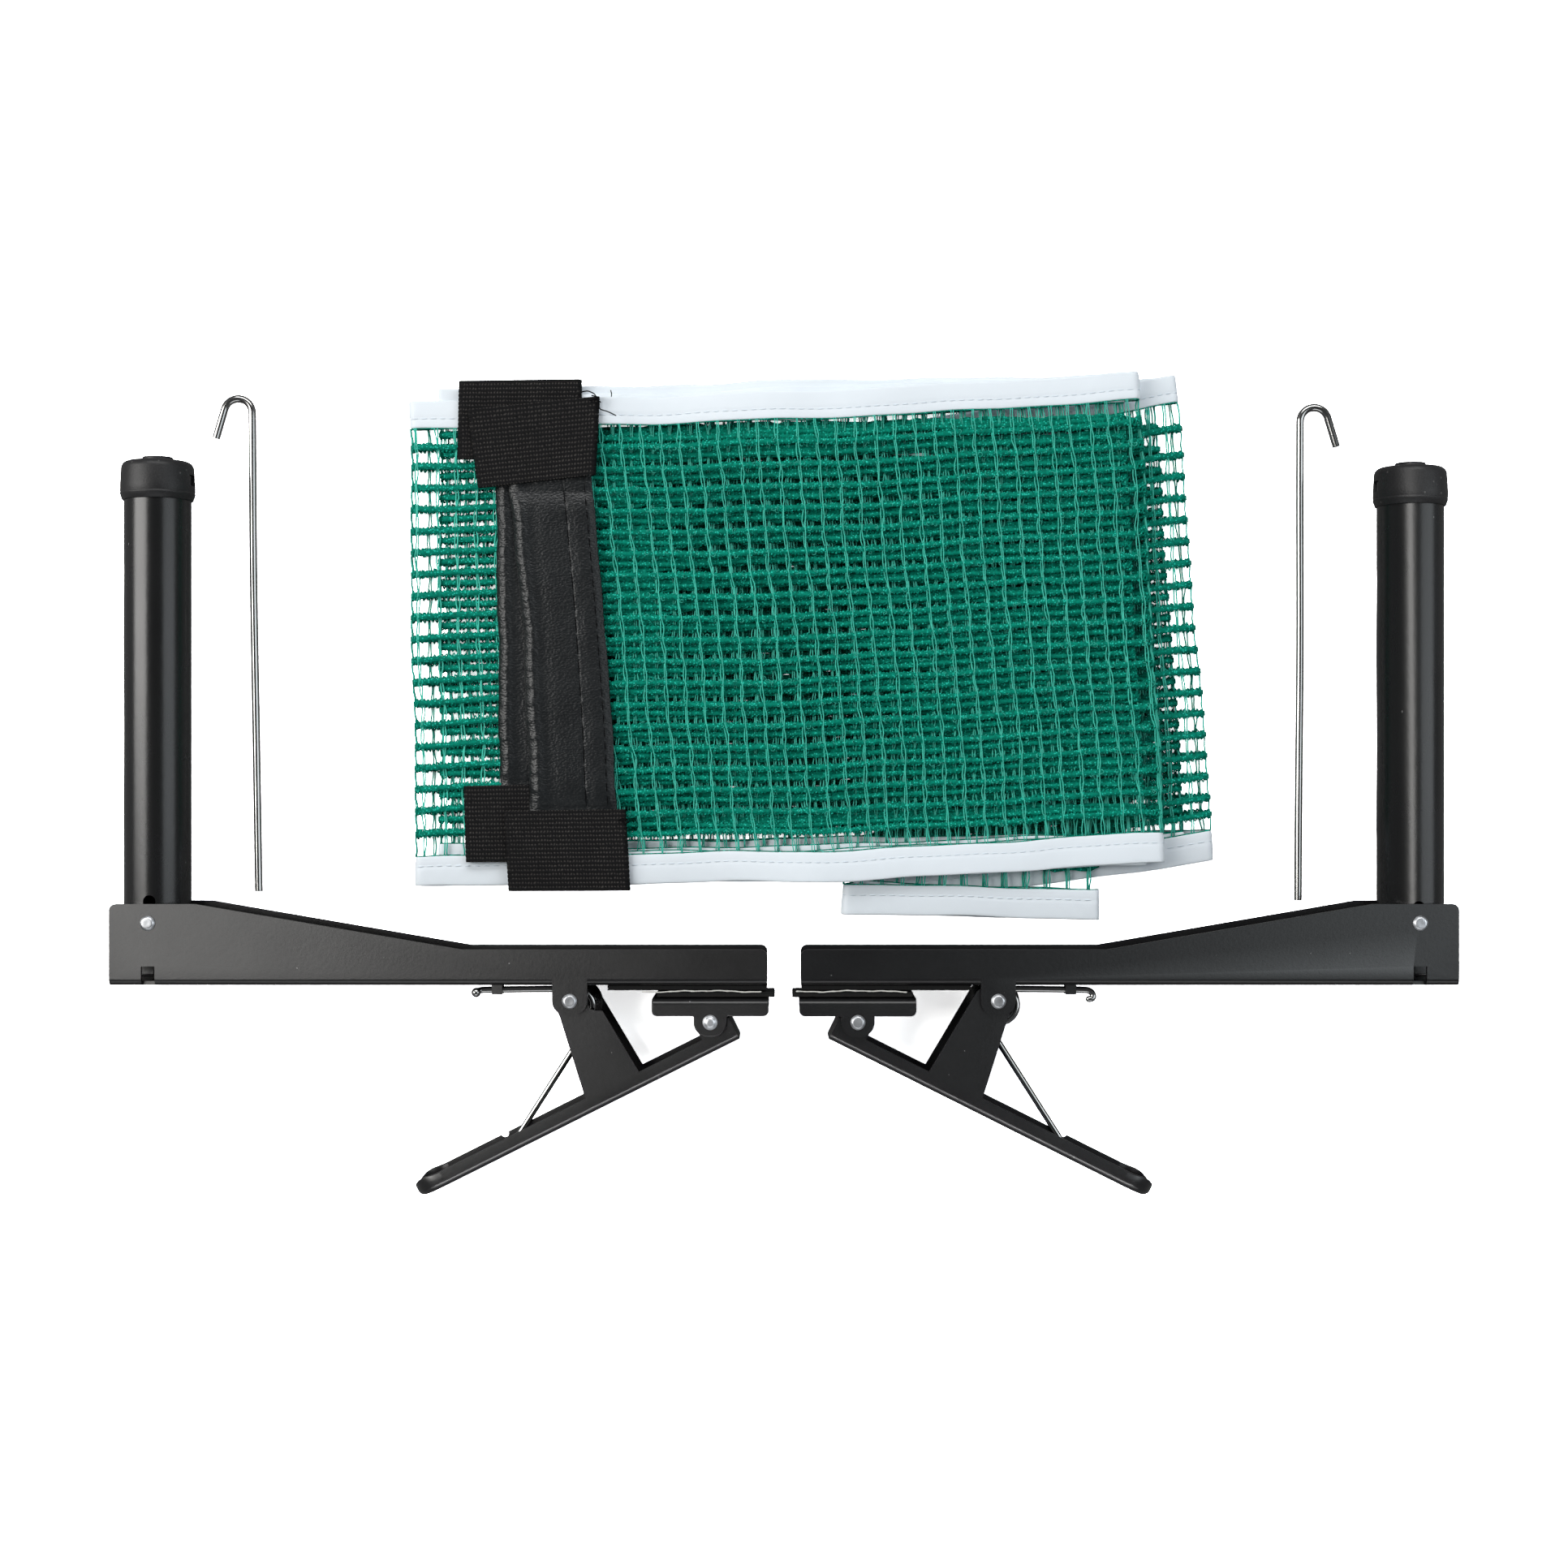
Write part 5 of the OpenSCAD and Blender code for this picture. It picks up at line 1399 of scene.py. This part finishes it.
def springPath(side):
    # left-hand spring in mm from its pivot: hooked end, upper leg, coil, lower leg with its end
    # bent down into the notch; mirrored for the right
    settings, lever = springSettings, leverSettings
    low, high = nodeBox(f"lever_spring_{side}")
    sweep = 90 + (90 - settings["legAngle"]) + 360 * settings["turns"]
    rise = settings["pitch"] * sweep / 360
    startZ = (low[2] + high[2]) / 2 + rise / 2
    aside, coilY = settings["aside"][side], -lever["pivotDrop"] - settings["below"]
    turned = np.linspace(0, sweep, 240)
    angle, wider = np.radians(90 - turned), turned / sweep
    radius = settings["topRadius"] * (1 - wider) + settings["coilRadius"] * wider
    coil = np.stack([aside + radius * np.cos(angle), coilY + radius * np.sin(angle),
                     startZ - rise * wider], -1)
    along = np.linspace(-settings["upperLeg"] + settings["hook"], aside - 0.4, 30)
    sagging = -settings["sag"] * (along / settings["upperLeg"]) ** 2
    upperLeg = np.stack([along, coil[0, 1] + sagging, np.full_like(along, startZ)], -1)
    tip, hook = springHook(side, upperLeg[0])
    legTurn, leverTurn = radians(settings["legAngle"]), radians(lever["angle"])
    down = -np.array([np.cos(legTurn), np.sin(legTurn), 0])
    arm = -np.array([np.cos(leverTurn), np.sin(leverTurn), 0])
    across = np.array([-np.sin(leverTurn), np.cos(leverTurn), 0])
    leave = coil[-1]
    reach = (leave - [0, -lever["pivotDrop"], leave[2]]) @ across
    seat = -lever["armDrop"] + lever["sheet"] + settings["wire"] + settings["clear"]
    legLength = (reach - seat) / -(down @ across)
    leg = leave + down * np.linspace(0.4, legLength, 30)[:, None]
    bend = np.linspace(0, pi / 2, 7)[1:, None]
    turnDown = leg[-1] + arm * (settings["foot"] * np.sin(bend))
    turnDown = turnDown + np.array([0, 0, -settings["foot"]]) * (1 - np.cos(bend))
    foot = turnDown[-1] + np.array([[0, 0, -0.6], [0, 0, -1.2]])
    # both pieces run round part of the last turn, so that no gap opens in it
    parts = {"fixed": np.concatenate([tip, hook, upperLeg[1:], coil[:228]]),
             "moving": np.concatenate([coil[199:], leg, turnDown, foot])}
    return {name: path * (mirrorSign(side), 1, 1) + (pivotAt(side), underside, 0)
            for name, path in parts.items()}


def makeSpring(side):
    # one wire in two pieces: the coil with its upper leg, and the lower leg, which is on no body
    paths, wire = springPath(side), springSettings["wire"]
    girth = np.full(len(paths["fixed"]), wire)
    if side == "left":
        girth[:5] = np.linspace(springSettings["ball"], wire, 6)[:5]
    addPiece(f"lever_spring_{side}_coil", wireMesh(f"spring_{side}", paths["fixed"], girth, 14), "zincWire",
             f"clamp_{side}", [f"lever_spring_{side}"], sharp=None)
    mesh = wireMesh(f"spring_leg_{side}", paths["moving"], wire * 0.99, 14)
    leg = addPiece(f"lever_spring_{side}_leg", mesh, "zincWire", None, sharp=None)
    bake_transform(leg)


# stretcher rods: one wire with a hooked end

rodSettings = {"wire": 1.2, "length": 149.7, "hook": 4.4, "flare": 17, "leg": 9.5, "rounding": 0.10,
               "left": {"foot": (-164.3, 27.6), "lean": 0.8}, "right": {"foot": (160.8, 24.8), "lean": 0.25}}


def makeRod(side):
    # one wire: a slightly bent shank, the hook's arc and its flared leg, turned by its lean
    settings = rodSettings
    lengthwise = np.linspace(0, settings["length"], 90)
    straight = np.stack([ripples(lengthwise, [210, 90], [0.16, 0.05])[0], lengthwise], -1)
    straight[:, 0] -= straight[-1, 0]
    bend = arc((-settings["hook"], settings["length"]), settings["hook"], 0, 180 - settings["flare"], 28)[1:]
    heading = radians(270 - settings["flare"])
    leg = bend[-1] + np.linspace(0, settings["leg"], 12)[1:, None] * [np.cos(heading), np.sin(heading)]
    sign = mirrorSign(side)
    flat = np.concatenate([straight, bend, leg]) * (sign, 1)
    lean = radians(settings[side]["lean"]) * sign
    turned = np.stack([flat[:, 0] * np.cos(lean) - flat[:, 1] * np.sin(lean),
                       flat[:, 0] * np.sin(lean) + flat[:, 1] * np.cos(lean)], -1)
    place = turned + settings[side]["foot"] + (0, underside)
    path = np.concatenate([place, np.full((len(place), 1), settings["wire"])], 1)
    first, last = unit(path[0] - path[1]), unit(path[-1] - path[-2])
    outer, inner = settings["rounding"], settings["rounding"] * 0.8
    path = np.concatenate([[path[0] + first * outer], [path[0] + first * inner], path,
                           [path[-1] + last * inner], [path[-1] + last * outer]])
    radius = np.full(len(path), settings["wire"])
    radius[[0, -1]], radius[[1, -2]] = 0.001, settings["wire"] * 0.86
    mesh = closedMesh(f"rod_{side}", *sweptStrands(path[None], radius[None], 20, upright))
    weld(mesh, 0.003)
    addPiece(f"hook_rod_{side}_wire", mesh, "zincWire", f"rod_{side}", [f"hook_rod_{side}"])


for handed in ("left", "right"):
    for part in ("bracket", "jaw"):
        softenedSteel(f"{part}_{handed}")
    makeLever(handed)
    makePost(handed)
    makeCap(handed)
    makeRivet(f"post_rivet_{handed}", f"clamp_{handed}")
    makeRivet(f"lever_rivet_{handed}", f"clamp_{handed}")
    makeRivet(f"jaw_rivet_{handed}", f"lever_{handed}", domed=handed == "left")
    makeGlueLine(handed)
    makeSpring(handed)
    makeRod(handed)
    print("clamp and rod,", handed)
for padName, pad in padSettings.items():
    makePad(padName, pad)

aimLights(lightSettings)
